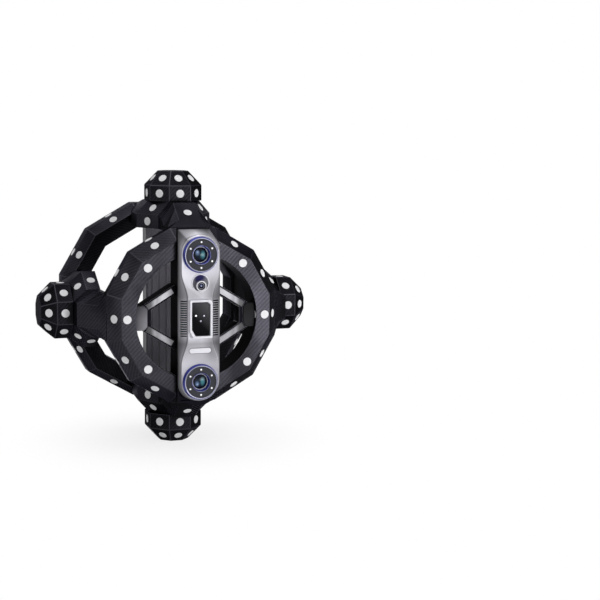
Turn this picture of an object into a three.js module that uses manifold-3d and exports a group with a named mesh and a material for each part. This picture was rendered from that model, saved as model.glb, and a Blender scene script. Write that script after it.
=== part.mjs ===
// Handheld 3-D scanner: a faceted tracking cage with four marker knobs, a camera bar on its
// front ring, a braced bore and an upright grip at the back. Millimetres, +Z up, front to -Y.
// The origin is the centre of the flat foot face under the bottom knob.

import * as THREE from 'three';
import { mergeVertices } from 'three/addons/utils/BufferGeometryUtils.js';
import Module from 'manifold-3d';

// Fits and cuts
const SEAM = 0.3;
const SLIDE_GAP = 0.4;
const OVERRUN = 3;
const WELD = 0.0005;

// Cage
const CAGE_REACH = 170;
const RING_SIDES = 12;
const HUB_NAMES = ['top', 'right', 'bottom', 'left'];

// Front ring
const FRONT_FACE_Y = -107;
const FRONT_FACE_APOTHEM = 91.7;
const FRONT_SLOPE_RISE = 13.6;
const FRONT_SLOPE_DEPTH = 18.4;
const FRONT_WALL_DEPTH = 14;
const FRONT_BACK_CHAMFER = 5;
const FRONT_BORE_RADIUS = 74.5;
const BORE_SIDES = 48;

// Rear ring
const REAR_CREASE_Y = 57;
const REAR_HOLE_APOTHEM = 97;
const REAR_CREASE_APOTHEM = 117;
const REAR_DISH_DEPTH = 7;
const REAR_SLOPE_RISE = 9;
const REAR_SLOPE_DEPTH = 15;
const REAR_WALL_DEPTH = 21;
const REAR_BACK_CHAMFER = 6;

// Knobs
const KNOB_SIDES = 8;
const KNOB_APOTHEM = 33.3;
const KNOB_END_APOTHEM = 17.7;
const KNOB_SEAT_RISE = 27.7;
const KNOB_WALL_HEIGHT = 19.5;

// Hubs, in a frame with the hub's own axis along +Z
const HUB_FACET_HALF = 14;
const HUB_ARM_HALF = 28;
const HUB_WIDE_HALF = 47;
const HUB_NECK_HALF = 43;
const HUB_REAR_HALF = 36;
const HUB_HEIGHT = 32.7;
const HUB_SLANT_WIDTH = 14;
const HUB_SLANT_HEIGHT = 15.7;
const HUB_ARM_SLANT_HEIGHT = 20.7;
const HUB_ARM_START_Y = -60;
const HUB_FLARE_START_Y = -34;
const HUB_FLARE_END_Y = -3;
const HUB_NECK_REAR_Y = 36;

// Round target markers, raised a little on the facets that carry them
const MARKER_RADIUS = 5;
const MARKER_RISE = 0.4;
const MARKER_ROOT = 1;
const MARKER_SIDES = 10;
const FRONT_MARKER_INSET = 6.7;
const FRONT_MARKER_FACET_SHARES = [0, 1.6, 4.5, 6, 7.5, 10.6];

// Camera bar
const BAR_HALF_WIDTH = 25.8;
const BAR_HEAD_RISE = 31.2;
const BAR_CHAMFER_WIDTH = 13.5;
const BAR_CHAMFER_HEIGHT = 19;
const BAR_RIM_DEPTH = 6.2;
const BAR_CORE_BACK_Y = -82;
const BAR_WALL = 2.2;
const BAR_FLOOR = 2;
const BAR_FOOT_DROP = 25.7;
const BAR_LIP_RADIUS = 30;
const BAR_LIP_HALF = 14;
const BAR_ROUND_STEPS = 6;
const BAR_SIDE_STEPS = 16;
const FASCIA_EDGE = 1.2;
const FASCIA_CROWN = 5.3;
const PLATEAU_MARGIN = 3.1;
const WAIST_HALF = 14.2;
const WAIST_START = 23;
const WAIST_END = 56;

// Cameras, one at each end of the bar
const LENS_REACH = 75.8;
const BEZEL_RADIUS = 21.6;
const BEZEL_FRONT_RADIUS = 20.2;
const BEZEL_HEIGHT = 4.6;
const LAMP_RADIUS = 18.6;
const LAMP_DEPTH = 7;
const LAMP_SETBACK = 0.8;
const LED_CIRCLE = 15.2;
const LED_RADIUS = 1.3;
const LED_RISE = 0.4;
const LED_COUNT = 6;
const BARREL_RADIUS = 11.4;
const BARREL_LIP = 1.8;
const BARREL_PROUD = 0.6;
const GLASS_RADIUS = 8.1;
const GLASS_DEPTH = 5;
const GLASS_DOME = 1.6;
const GLASS_THICK = 3;
const DOME_STEPS = 3;
const ROUND_SIDES = 30;
const SMALL_SIDES = 18;

// Small camera, in the room between the upper lens and the window
const CUP_PLACE_SHARE = 0.62;
const CUP_RADIUS_SHARE = 0.345;
const CUP_DEPTH = 5;
const CUP_FLOOR = 2;
const CUP_SIDE = 0.9;
const EYE_RADIUS_SHARE = 0.67;
const EYE_PROUD = 5;
const EYE_WALL = 2.1;
const EYE_GLASS_DEPTH = 1.5;
const EYE_GLASS_THICK = 2;

// Projector window
const WINDOW_HALF_WIDTH = 11.3;
const WINDOW_TOP = 19.9;
const WINDOW_BOTTOM = -20.6;
const WINDOW_CUT_LOW_WIDTH = 4.5;
const WINDOW_CUT_LOW_HEIGHT = 8;
const WINDOW_CUT_HIGH = 3;
const FRAME_BORDER = 2.7;
const FRAME_HEIGHT = 4.4;
const PANE_THICK = 3;
const WINDOW_LEDGE = 1.4;

// Projector module behind the window
const PROJECTOR_HALF_WIDTH = 8.5;
const PROJECTOR_HALF_HEIGHT = 15;
const EMITTER_RADIUS = 2;
const EMITTER_RISE = 1.5;
const EMITTER_SPREAD = 5;
const EMITTER_DROP = 6.2;

// Indicator strip
const INDICATOR_Z = -38.5;
const INDICATOR_LENGTH = 26.8;
const INDICATOR_HEIGHT = 6.2;
const INDICATOR_SINK = 1.1;
const INDICATOR_PROUD = 0.5;

// Vents beside the window
const VENT_COUNT = 16;
const VENT_PITCH = 2.75;
const VENT_HEIGHT = 1.2;
const VENT_LENGTH = 7.1;
const VENT_MARGIN = 2.5;

// Circuit board inside the bar
const BOARD_THICK = 1.6;
const BOARD_GAP = 2;
const BOARD_STANDOFF = 4;
const STANDOFF_RADIUS = 2.5;
const STANDOFF_INSET = 5;

// Brace between the ring's bore and the bar
const BRACE_SETBACK = 6;
const BRACE_DEPTH = 22;
const BRACE_WIDTH = 10;
const BRACE_APEX_X = 62;
const BRACE_APEX_Z = 11.2;
const BRACE_END_Z = 33;
const STRIP_WIDTH = 6.4;
const STRIP_SINK = 1;
const STRIP_PROUD = 0.2;
const STRIP_END = 3;
const CLAMP_HALF_HEIGHT = 14.5;
const CLAMP_INNER_X = 59.6;
const CLAMP_CORNER = 4;
const CLAMP_PROUD = 1.4;

// Grip
const GRIP_FRONT_Y = 68;
const GRIP_HALF_WIDTH = 16.5;
const GRIP_CHAMFER = 2;
const GRIP_FRONT_DEPTH = 15;
const GRIP_REAR_DEPTH = 18;
const GRIP_BACK_HALF = 11;
const GRIP_SIDE_DEPTH = 3;
const GROOVE_COUNT = 3;
const GROOVE_PITCH = 9.5;
const GROOVE_WIDTH = 1.4;
const GROOVE_DEPTH = 1;

// Battery and its door
const BATTERY_HALF_WIDTH = 8.6;
const BATTERY_HALF_HEIGHT = 30;
const BATTERY_Z = -22;
const BATTERY_FRONT_WALL = 5;
const DOOR_THICK = 2.4;
const DOOR_GAP = 0.7;
const DOOR_MARGIN = 0.6;
const HINGE_RADIUS = 2;
const HINGE_RISE = 1.2;
const PIN_RADIUS = 0.8;
const KNUCKLE_GAP = 0.4;
const KNUCKLE_LENGTH = 20;
const EAR_LENGTH = 8;
const LIP_WIDTH = 3;
const LIP_LENGTH = 12;
const LIP_DEPTH = 1;

// Buttons on the back of the grip
const BUTTON_TRAVEL = 1.5;
const BUTTON_PROUD = 2;
const BUTTON_LENGTH = 8;
const SCAN_BUTTON_RADIUS = 7;
const SCAN_BUTTON_Z = 50;
const SIDE_BUTTON_RADIUS = 4;
const SIDE_BUTTON_STEP = 14;
const POWER_BUTTON_Z = 82;
const WELL_FLOOR = 3;

// Power and data inlet with its rubber flap
const PORT_Z = -72;
const PORT_HALF_WIDTH = 6;
const PORT_HALF_HEIGHT = 3.5;
const PORT_DEPTH = 10;
const PORT_WALL = 1.2;
const CONTACT_COUNT = 4;
const CONTACT_PITCH = 2.6;
const CONTACT_RADIUS = 0.7;
const CONTACT_RISE = 1.4;
const FLAP_HALF_WIDTH = 9;
const FLAP_TOP = 7;
const FLAP_BOTTOM = 8;
const FLAP_THICK = 1.8;
const FLAP_ROLL_RADIUS = 1.3;

// Sizes that follow
const FRONT_WALL_APOTHEM = FRONT_FACE_APOTHEM + FRONT_SLOPE_RISE;
const FRONT_SLOPE_END_Y = FRONT_FACE_Y + FRONT_SLOPE_DEPTH;
const FRONT_WALL_END_Y = FRONT_SLOPE_END_Y + FRONT_WALL_DEPTH;
const FRONT_BACK_Y = FRONT_WALL_END_Y + FRONT_BACK_CHAMFER;
const REAR_WALL_APOTHEM = REAR_CREASE_APOTHEM + REAR_SLOPE_RISE;
const REAR_WALL_Y = REAR_CREASE_Y + REAR_SLOPE_DEPTH;
const REAR_WALL_END_Y = REAR_WALL_Y + REAR_WALL_DEPTH;
const REAR_BACK_Y = REAR_WALL_END_Y + REAR_BACK_CHAMFER;
const KNOB_SEAT_REACH = FRONT_WALL_APOTHEM + KNOB_SEAT_RISE;
const HUB_TOP_REACH = KNOB_SEAT_REACH - SEAM;
const HUB_SHOULDER_REACH = HUB_TOP_REACH - HUB_SLANT_HEIGHT;
const HUB_FLOOR_REACH = HUB_TOP_REACH - HUB_HEIGHT;
const FRONT_MARKER_RADIUS = FRONT_FACE_APOTHEM - FRONT_MARKER_INSET;
const BAR_BACK_Y = FRONT_FACE_Y - SEAM;
const BAR_EDGE_Y = BAR_BACK_Y - BAR_RIM_DEPTH;
const BAR_CORE_HALF = Math.sqrt((FRONT_BORE_RADIUS - SEAM) ** 2 - BAR_HALF_WIDTH ** 2) - SEAM;
const FASCIA_BACK_Y = BAR_EDGE_Y - SEAM;
const FASCIA_EDGE_Y = FASCIA_BACK_Y - FASCIA_EDGE;
const PLATEAU_Y = FASCIA_EDGE_Y - FASCIA_CROWN;
const ON_PLATEAU_Y = PLATEAU_Y - SEAM;
const BEZEL_FRONT_Y = ON_PLATEAU_Y - BEZEL_HEIGHT;
const LAMP_FRONT_Y = BEZEL_FRONT_Y + LAMP_SETBACK;
const BARREL_FRONT_Y = BEZEL_FRONT_Y - BARREL_PROUD;
const BARREL_BACK_Y = BAR_BACK_Y - BAR_FLOOR - SEAM;
const SENSOR_ROOM_Z = WINDOW_TOP + FRAME_BORDER;
const SENSOR_ROOM = LENS_REACH - BEZEL_RADIUS - SENSOR_ROOM_Z;
const CUP_Z = SENSOR_ROOM_Z + SENSOR_ROOM * CUP_PLACE_SHARE;
const CUP_RADIUS = SENSOR_ROOM * CUP_RADIUS_SHARE;
const CUP_FLOOR_RADIUS = CUP_RADIUS - 2 * CUP_SIDE;
const EYE_RADIUS = CUP_FLOOR_RADIUS * EYE_RADIUS_SHARE;
const EYE_Z = CUP_Z - CUP_FLOOR_RADIUS + EYE_RADIUS;
const EYE_GLASS_RADIUS = EYE_RADIUS - EYE_WALL;
const FRAME_FRONT_Y = ON_PLATEAU_Y - FRAME_HEIGHT;
const VENT_OUTER = BAR_HALF_WIDTH - VENT_MARGIN;
const VENT_INNER = VENT_OUTER - VENT_LENGTH;
const PANE_BACK_Y = ON_PLATEAU_Y;
const CORE_FLOOR_Y = BAR_CORE_BACK_Y - BAR_WALL;
const BRACE_FRONT_Y = FRONT_FACE_Y + BRACE_SETBACK;
const BOARD_BACK_Y = CORE_FLOOR_Y - BOARD_STANDOFF - SEAM;
const BOARD_FRONT_Y = BOARD_BACK_Y - BOARD_THICK;
const GRIP_SPLIT_Y = GRIP_FRONT_Y + GRIP_FRONT_DEPTH;
const GRIP_REAR_Y = GRIP_SPLIT_Y + SEAM;
const GRIP_BACK_Y = GRIP_REAR_Y + GRIP_REAR_DEPTH;
const GRIP_HALF_LENGTH = REAR_HOLE_APOTHEM - SEAM;
const HATCH_HALF_WIDTH = BATTERY_HALF_WIDTH + SEAM;
const HATCH_HALF_HEIGHT = BATTERY_HALF_HEIGHT + SEAM;
const HINGE_Y = GRIP_BACK_Y + HINGE_RISE;
const HINGE_X = -HATCH_HALF_WIDTH;

const wasm = await Module();
wasm.setup();

// Closed surfaces and solids

function turnOutward(geometry) {
  const p = geometry.attributes.position;
  const index = geometry.index.array;
  const [a, b, c] = [new THREE.Vector3(), new THREE.Vector3(), new THREE.Vector3()];
  let volume = 0;
  for (let i = 0; i < index.length; i += 3) {
    a.fromBufferAttribute(p, index[i]);
    b.fromBufferAttribute(p, index[i + 1]);
    c.fromBufferAttribute(p, index[i + 2]);
    volume += a.dot(b.cross(c));
  }
  if (volume < 0) {
    for (let i = 0; i < index.length; i += 3) {
      const swap = index[i + 1];
      index[i + 1] = index[i + 2];
      index[i + 2] = swap;
    }
  }
  return geometry;
}

function closedSurface(source) {
  const bare = source.index ? source.toNonIndexed() : source.clone();
  for (const name of Object.keys(bare.attributes)) {
    if (name !== 'position') bare.deleteAttribute(name);
  }
  const merged = mergeVertices(bare, WELD);
  const kept = [];
  const index = merged.index.array;
  for (let i = 0; i < index.length; i += 3) {
    const [a, b, c] = [index[i], index[i + 1], index[i + 2]];
    if (a !== b && b !== c && c !== a) kept.push(a, b, c);
  }
  merged.setIndex(kept);
  return turnOutward(merged);
}

function solid(source) {
  const surface = closedSurface(source);
  return new wasm.Manifold(new wasm.Mesh({
    numProp: 3,
    vertProperties: new Float32Array(surface.attributes.position.array),
    triVerts: new Uint32Array(surface.index.array),
  }));
}

function surfaceOf(manifold) {
  const mesh = manifold.getMesh();
  const geometry = new THREE.BufferGeometry();
  geometry.setAttribute('position', new THREE.BufferAttribute(mesh.vertProperties, 3));
  geometry.setIndex(new THREE.BufferAttribute(mesh.triVerts, 1));
  return geometry;
}

function join(...geometries) {
  return surfaceOf(geometries.map(solid).reduce((all, next) => all.add(next)));
}

function cut(geometry, ...tools) {
  return surfaceOf(tools.map(solid).reduce((left, tool) => left.subtract(tool), solid(geometry)));
}

function overlapOf(geometry, other) {
  return surfaceOf(solid(geometry).intersect(solid(other)));
}

// Forms

// A plate with its outline in X and Z, from one depth to another
function plate(outline, y0, y1, holes = []) {
  const shape = new THREE.Shape(outline);
  shape.holes = holes.map((hole) => new THREE.Path(hole));
  const depth = Math.abs(y1 - y0);
  const geometry = new THREE.ExtrudeGeometry(shape, { depth, bevelEnabled: false });
  return geometry.rotateX(Math.PI / 2).translate(0, Math.max(y0, y1), 0);
}

// A bar with its section in X and Y, from one height to another
function column(section, z0, z1) {
  const shape = new THREE.Shape(section);
  const geometry = new THREE.ExtrudeGeometry(shape, { depth: z1 - z0, bevelEnabled: false });
  return geometry.translate(0, 0, z0);
}

// A turned piece round a line along Y; the profile holds (radius, y)
function turnedOnY(profile, sides, x = 0, z = 0, start = 0) {
  const points = profile.map(([r, y]) => new THREE.Vector2(r, y));
  return new THREE.LatheGeometry(points, sides, start).translate(x, 0, z);
}

function block(x0, x1, y0, y1, z0, z1) {
  const box = new THREE.BoxGeometry(x1 - x0, y1 - y0, z1 - z0);
  return box.translate((x0 + x1) / 2, (y0 + y1) / 2, (z0 + z1) / 2);
}

// A rod along Y or Z
function rodOnY(radius, y0, y1, x, z, sides = ROUND_SIDES) {
  const rod = new THREE.CylinderGeometry(radius, radius, Math.abs(y1 - y0), sides);
  return rod.translate(x, (y0 + y1) / 2, z);
}

function rodOnZ(radius, z0, z1, x, y, sides = SMALL_SIDES) {
  const rod = new THREE.CylinderGeometry(radius, radius, z1 - z0, sides);
  return rod.rotateX(Math.PI / 2).translate(x, y, (z0 + z1) / 2);
}

// Outlines of equal count in X and Z, each at its own depth, skinned into one body.
// Where four corners don't lie flat, the skin folds outward.
function loft(sections, depths) {
  const clockwise = THREE.ShapeUtils.isClockWise(sections[0]);
  const outlines = clockwise ? sections.map((outline) => outline.toReversed()) : sections;
  const count = outlines[0].length;
  const positions = [];
  outlines.forEach((outline, i) => {
    for (const p of outline) positions.push(p.x, depths[i], p.y);
  });
  const index = [];
  const heading = Math.sign(depths.at(-1) - depths[0]);
  const corner = (i) => new THREE.Vector3().fromArray(positions, 3 * i);
  for (let ring = 0; ring < outlines.length - 1; ring += 1) {
    for (let i = 0; i < count; i += 1) {
      const a = ring * count + i;
      const b = ring * count + ((i + 1) % count);
      const [c, d] = [b + count, a + count];
      const face = corner(b).sub(corner(a)).cross(corner(c).sub(corner(a)));
      const foldsOut = face.dot(corner(d).sub(corner(a))) * heading >= 0;
      if (foldsOut) index.push(a, b, c, a, c, d);
      else index.push(a, b, d, b, c, d);
    }
  }
  const last = (outlines.length - 1) * count;
  for (const [a, b, c] of THREE.ShapeUtils.triangulateShape(outlines[0], [])) index.push(a, c, b);
  for (const [a, b, c] of THREE.ShapeUtils.triangulateShape(outlines.at(-1), [])) {
    index.push(last + a, last + b, last + c);
  }
  const geometry = new THREE.BufferGeometry();
  geometry.setAttribute('position', new THREE.Float32BufferAttribute(positions, 3));
  geometry.setIndex(index);
  return geometry;
}

function point(x, z) {
  return new THREE.Vector2(x, z);
}

function mirrored(half) {
  return half.concat(half.toReversed().map((p) => point(-p.x, p.y)));
}

function circumradius(apothem, sides) {
  return apothem / Math.cos(Math.PI / sides);
}

// Target markers

function markerPad(place, normal) {
  const height = MARKER_RISE + MARKER_ROOT;
  const pad = new THREE.CylinderGeometry(MARKER_RADIUS, MARKER_RADIUS, height, MARKER_SIDES);
  pad.translate(0, MARKER_RISE - height / 2, 0);
  const up = new THREE.Vector3(0, 1, 0);
  pad.applyQuaternion(new THREE.Quaternion().setFromUnitVectors(up, normal.normalize()));
  return pad.translate(place.x, place.y, place.z);
}

// A pad in the middle of a four-cornered facet whose corners are given in rows
function facetPad(side, a, b, c, d) {
  const place = a.clone().add(b).add(c).add(d).divideScalar(4);
  const along = b.clone().add(d).sub(a).sub(c);
  const across = c.clone().add(d).sub(a).sub(b);
  return markerPad(place, along.cross(across).multiplyScalar(side));
}

// A pad on a facet of a ring: the facet runs from one (radius, y) to the next
function ringPad(turn, [r0, y0], [r1, y1], share = 0.5) {
  const angle = (turn * 2 * Math.PI) / RING_SIDES;
  const radial = new THREE.Vector3(Math.cos(angle), 0, Math.sin(angle));
  const radius = r0 + (r1 - r0) * share;
  const place = radial.clone().multiplyScalar(radius).setY(y0 + (y1 - y0) * share);
  const normal = radial.clone().multiplyScalar(Math.abs(y1 - y0)).setY(Math.sign(y0 - y1) * (r1 - r0));
  return markerPad(place, normal);
}

// Rings

function frontRingProfile(grow) {
  return [
    [0, FRONT_FACE_Y - grow],
    [FRONT_FACE_APOTHEM + grow, FRONT_FACE_Y - grow],
    [FRONT_WALL_APOTHEM + grow, FRONT_SLOPE_END_Y],
    [FRONT_WALL_APOTHEM + grow, FRONT_WALL_END_Y + grow],
    [FRONT_WALL_APOTHEM - FRONT_BACK_CHAMFER + grow, FRONT_BACK_Y + grow],
    [0, FRONT_BACK_Y + grow],
  ];
}

function rearRingProfile(grow) {
  return [
    [REAR_HOLE_APOTHEM - grow, REAR_CREASE_Y + REAR_DISH_DEPTH - grow],
    [REAR_CREASE_APOTHEM, REAR_CREASE_Y - grow],
    [REAR_WALL_APOTHEM + grow, REAR_WALL_Y - grow],
    [REAR_WALL_APOTHEM + grow, REAR_WALL_END_Y + grow],
    [REAR_WALL_APOTHEM - REAR_BACK_CHAMFER + grow, REAR_BACK_Y + grow],
    [REAR_HOLE_APOTHEM - grow, REAR_BACK_Y + grow],
    [REAR_HOLE_APOTHEM - grow, REAR_CREASE_Y + REAR_DISH_DEPTH - grow],
  ];
}

function facetedRing(profile) {
  const corners = profile.map(([r, y]) => [circumradius(r, RING_SIDES), y]);
  return turnedOnY(corners, RING_SIDES, 0, 0, Math.PI / RING_SIDES);
}

const isHubTurn = (turn) => turn % (RING_SIDES / 4) === 0;
const isBarTurn = (turn) => turn === RING_SIDES / 4 || turn === (3 * RING_SIDES) / 4;

function frontRing() {
  const [, face, slope, wall] = frontRingProfile(0);
  const pads = [];
  for (let turn = 0; turn < RING_SIDES; turn += 1) {
    if (!isBarTurn(turn)) pads.push(ringPad(turn, face, slope));
    if (!isHubTurn(turn)) pads.push(ringPad(turn, slope, wall));
  }
  for (const turn of FRONT_MARKER_FACET_SHARES) {
    pads.push(ringPad(turn, [FRONT_MARKER_RADIUS, FRONT_FACE_Y], [FRONT_FACE_APOTHEM, FRONT_FACE_Y], 0));
  }
  const body = join(facetedRing(frontRingProfile(0)), ...pads);
  const bore = rodOnY(FRONT_BORE_RADIUS, FRONT_FACE_Y - OVERRUN, FRONT_BACK_Y + OVERRUN, 0, 0, BORE_SIDES);
  return cut(body, bore);
}

function rearRing() {
  const [, crease, slope, wall] = rearRingProfile(0);
  const pads = [];
  for (let turn = 0; turn < RING_SIDES; turn += 1) {
    if (!isHubTurn(turn)) pads.push(ringPad(turn, crease, slope), ringPad(turn, slope, wall));
  }
  return join(facetedRing(rearRingProfile(0)), ...pads);
}

// Hubs and knobs, with their axis along +Z

// How far out the front ring's sloped facet lies at a depth
function slopeReach(y) {
  return FRONT_FACE_APOTHEM + ((y - FRONT_FACE_Y) * FRONT_SLOPE_RISE) / FRONT_SLOPE_DEPTH;
}

function slopeDepth(reach) {
  return FRONT_FACE_Y + ((reach - FRONT_FACE_APOTHEM) * FRONT_SLOPE_DEPTH) / FRONT_SLOPE_RISE;
}

function hubSection(topHalf, top, sideHalf, shoulder) {
  return mirrored([point(sideHalf, HUB_FLOOR_REACH), point(sideHalf, shoulder), point(topHalf, top)]);
}

// A section behind the arm: all of these slant alike, so that the facets between them are flat
function flareSection(sideHalf, top = HUB_TOP_REACH) {
  const width = (HUB_SLANT_WIDTH * (top - HUB_SHOULDER_REACH)) / HUB_SLANT_HEIGHT;
  return hubSection(sideHalf - width, top, sideHalf, HUB_SHOULDER_REACH);
}

// The arm starts as wide as the ring's facet, and the walls of the next facets, carried on, narrow it
function hubBody() {
  const facetTurn = (2 * Math.PI) / RING_SIDES;
  const ringHalf = FRONT_WALL_APOTHEM * Math.tan(facetTurn / 2);
  const kinkReach = (FRONT_WALL_APOTHEM - HUB_FACET_HALF * Math.sin(facetTurn)) / Math.cos(facetTurn);
  const armReach = slopeReach(HUB_ARM_START_Y);
  const stations = [
    [FRONT_SLOPE_END_Y,
      hubSection(HUB_FACET_HALF, FRONT_WALL_APOTHEM, ringHalf, FRONT_WALL_APOTHEM - SEAM)],
    [slopeDepth(kinkReach), hubSection(HUB_FACET_HALF, kinkReach, ringHalf, FRONT_WALL_APOTHEM)],
    [HUB_ARM_START_Y, hubSection(HUB_FACET_HALF, armReach, HUB_ARM_HALF, armReach - HUB_ARM_SLANT_HEIGHT)],
    [slopeDepth(HUB_TOP_REACH),
      hubSection(HUB_FACET_HALF, HUB_TOP_REACH, HUB_ARM_HALF, HUB_TOP_REACH - HUB_ARM_SLANT_HEIGHT)],
    [HUB_FLARE_START_Y, flareSection(HUB_ARM_HALF)],
    [HUB_FLARE_END_Y, flareSection(HUB_WIDE_HALF)],
    [HUB_NECK_REAR_Y, flareSection(HUB_NECK_HALF)],
    [REAR_WALL_Y, flareSection(HUB_REAR_HALF, REAR_WALL_APOTHEM)],
  ];
  return loft(stations.map(([, outline]) => outline), stations.map(([y]) => y));
}

function hub(hasFrontMarker) {
  const pads = [];
  for (const side of [-1, 1]) {
    const corners = (half, y) => flareSection(half).map((p) => new THREE.Vector3(side * p.x, y, p.y));
    const [a, c, e] = corners(HUB_ARM_HALF, HUB_FLARE_START_Y);
    const [b, d, f] = corners(HUB_WIDE_HALF, HUB_FLARE_END_Y);
    pads.push(facetPad(side, a, b, c, d), facetPad(side, c, d, e, f));
  }
  if (hasFrontMarker) {
    const y = (FRONT_SLOPE_END_Y + HUB_FLARE_START_Y) / 2 - MARKER_RADIUS;
    const normal = new THREE.Vector3(0, -FRONT_SLOPE_RISE, FRONT_SLOPE_DEPTH);
    pads.push(markerPad(new THREE.Vector3(0, y, slopeReach(y)), normal));
  }
  const frontRoom = facetedRing(frontRingProfile(SEAM));
  const rearRoom = facetedRing(rearRingProfile(SEAM));
  return cut(join(hubBody(), ...pads), frontRoom, rearRoom);
}

function knob(hasEndMarker) {
  const shoulder = KNOB_SEAT_REACH + KNOB_WALL_HEIGHT;
  const corner = circumradius(KNOB_APOTHEM, KNOB_SIDES);
  const endCorner = circumradius(KNOB_END_APOTHEM, KNOB_SIDES);
  const body = turnedOnY([
    [0, KNOB_SEAT_REACH], [corner, KNOB_SEAT_REACH], [corner, shoulder],
    [endCorner, CAGE_REACH], [0, CAGE_REACH],
  ], KNOB_SIDES, 0, 0, Math.PI / KNOB_SIDES);
  const taper = CAGE_REACH - shoulder;
  const pads = [];
  for (let facet = 0; facet < KNOB_SIDES; facet += 1) {
    const angle = (facet * 2 * Math.PI) / KNOB_SIDES;
    const radial = new THREE.Vector3(Math.sin(angle), 0, Math.cos(angle));
    const wallPlace = radial.clone().multiplyScalar(KNOB_APOTHEM);
    pads.push(markerPad(wallPlace.setY((KNOB_SEAT_REACH + shoulder) / 2), radial.clone()));
    const taperPlace = radial.clone().multiplyScalar((KNOB_APOTHEM + KNOB_END_APOTHEM) / 2);
    const normal = radial.clone().multiplyScalar(taper).setY(KNOB_APOTHEM - KNOB_END_APOTHEM);
    pads.push(markerPad(taperPlace.setY((shoulder + CAGE_REACH) / 2), normal));
  }
  if (hasEndMarker) {
    pads.push(markerPad(new THREE.Vector3(0, CAGE_REACH - MARKER_RISE, 0), new THREE.Vector3(0, 1, 0)));
  }
  return join(body, ...pads).rotateX(Math.PI / 2);
}

// Camera bar

// Half the width of the raised middle at a height: a waist at the window, full at the lenses
function plateauHalf(z) {
  const share = THREE.MathUtils.smoothstep(Math.abs(z), WAIST_START, WAIST_END);
  return WAIST_HALF + (BAR_HALF_WIDTH - PLATEAU_MARGIN - WAIST_HALF) * share;
}

// The corners of an end of the bar, seen from the lens centre, drawn in by an inset: the upper end has
// a chamfer at its right, the lower end a round one
function upperCorners(inset) {
  const half = BAR_HALF_WIDTH - inset;
  const top = BAR_HEAD_RISE - inset;
  return [
    point(half, 0), point(half, top - BAR_CHAMFER_HEIGHT), point(half - BAR_CHAMFER_WIDTH, top),
    point(-half, top), point(-half, 0),
  ];
}

function lowerCorners(inset) {
  const half = BAR_HALF_WIDTH - inset;
  const foot = inset - BAR_FOOT_DROP;
  const corners = [point(-half, 0), point(-half, foot)];
  for (let i = 0; i <= BAR_ROUND_STEPS; i += 1) {
    const angle = ((Math.PI / 2) * i) / BAR_ROUND_STEPS;
    corners.push(point(half * Math.sin(angle), foot * Math.cos(angle)));
  }
  return corners;
}

// The directions in which both levels of the bar's end have a point: even steps, moved to near corners
function endDirections(corners) {
  const steps = 2 * BAR_ROUND_STEPS;
  const directions = [];
  for (let i = 1; i < steps; i += 1) {
    const angle = corners[0].angle() + (Math.PI * i) / steps;
    const even = point(Math.cos(angle), Math.sin(angle));
    const isNear = (corner) => corner.clone().normalize().distanceTo(even) < Math.PI / (2 * steps);
    directions.push((corners.find(isNear) ?? even).clone().normalize());
  }
  return directions;
}

// Where a direction from the lens centre meets the line through the corners
function meetCorners(direction, corners) {
  const after = corners.findIndex((corner, i) => i > 0 && direction.cross(corner) >= 0);
  const [a, b] = [corners[after - 1], corners[after]];
  const share = direction.cross(a) / (direction.cross(a) - direction.cross(b));
  return a.clone().lerp(b, share);
}

// An outline of the bar: half its width at each height between the lenses, and a point at each
// direction round the ends
function outlineOf(halfAt, endPoint) {
  const right = [];
  for (let i = 0; i <= BAR_SIDE_STEPS; i += 1) {
    const z = ((2 * i) / BAR_SIDE_STEPS - 1) * LENS_REACH;
    right.push(point(halfAt(z), z));
  }
  const left = right.toReversed().map((p) => point(-p.x, p.y));
  const [upper, lower] = [upperCorners, lowerCorners].map((cornersOf) => endDirections(cornersOf(0))
    .map((direction) => endPoint(direction, cornersOf)));
  upper.forEach((p) => p.add(point(0, LENS_REACH)));
  lower.forEach((p) => p.add(point(0, -LENS_REACH)));
  return [...right, ...upper, ...left, ...lower];
}

// The bar's outline, drawn in by an inset
function barOutline(inset) {
  return outlineOf(() => BAR_HALF_WIDTH - inset,
    (direction, cornersOf) => meetCorners(direction, cornersOf(inset)));
}

// The outline of the raised middle, waisted at the window and round at the lenses
function plateauOutline(inset) {
  return outlineOf((z) => plateauHalf(z) - inset,
    (direction) => direction.clone().setLength(plateauHalf(LENS_REACH) - inset));
}

function barRearHousing() {
  const rim = join(plate(barOutline(0), BAR_BACK_Y, BAR_EDGE_Y), overlapOf(
    rodOnY(BAR_LIP_RADIUS, BAR_BACK_Y, BAR_EDGE_Y, 0, -LENS_REACH, BORE_SIDES),
    block(-BAR_LIP_HALF, BAR_LIP_HALF, BAR_BACK_Y, BAR_EDGE_Y, -LENS_REACH - BAR_LIP_RADIUS, -LENS_REACH)));
  const core = block(-BAR_HALF_WIDTH, BAR_HALF_WIDTH, BAR_EDGE_Y, BAR_CORE_BACK_Y,
    -BAR_CORE_HALF, BAR_CORE_HALF);
  const rimPocket = plate(barOutline(BAR_WALL), BAR_BACK_Y - BAR_FLOOR, BAR_EDGE_Y - OVERRUN);
  const coreHalf = BAR_CORE_HALF - BAR_WALL;
  const inner = BAR_HALF_WIDTH - BAR_WALL;
  const corePocket = block(-inner, inner, BAR_EDGE_Y - OVERRUN, CORE_FLOOR_Y, -coreHalf, coreHalf);
  const posts = [];
  for (const x of [-1, 1]) {
    for (const z of [-1, 1]) {
      posts.push(rodOnY(STANDOFF_RADIUS, CORE_FLOOR_Y - BOARD_STANDOFF, BAR_CORE_BACK_Y - BAR_WALL / 2,
        x * (inner - STANDOFF_INSET), z * (coreHalf - STANDOFF_INSET), SMALL_SIDES));
    }
  }
  return join(cut(join(rim, core), rimPocket, corePocket), ...posts);
}

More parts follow.
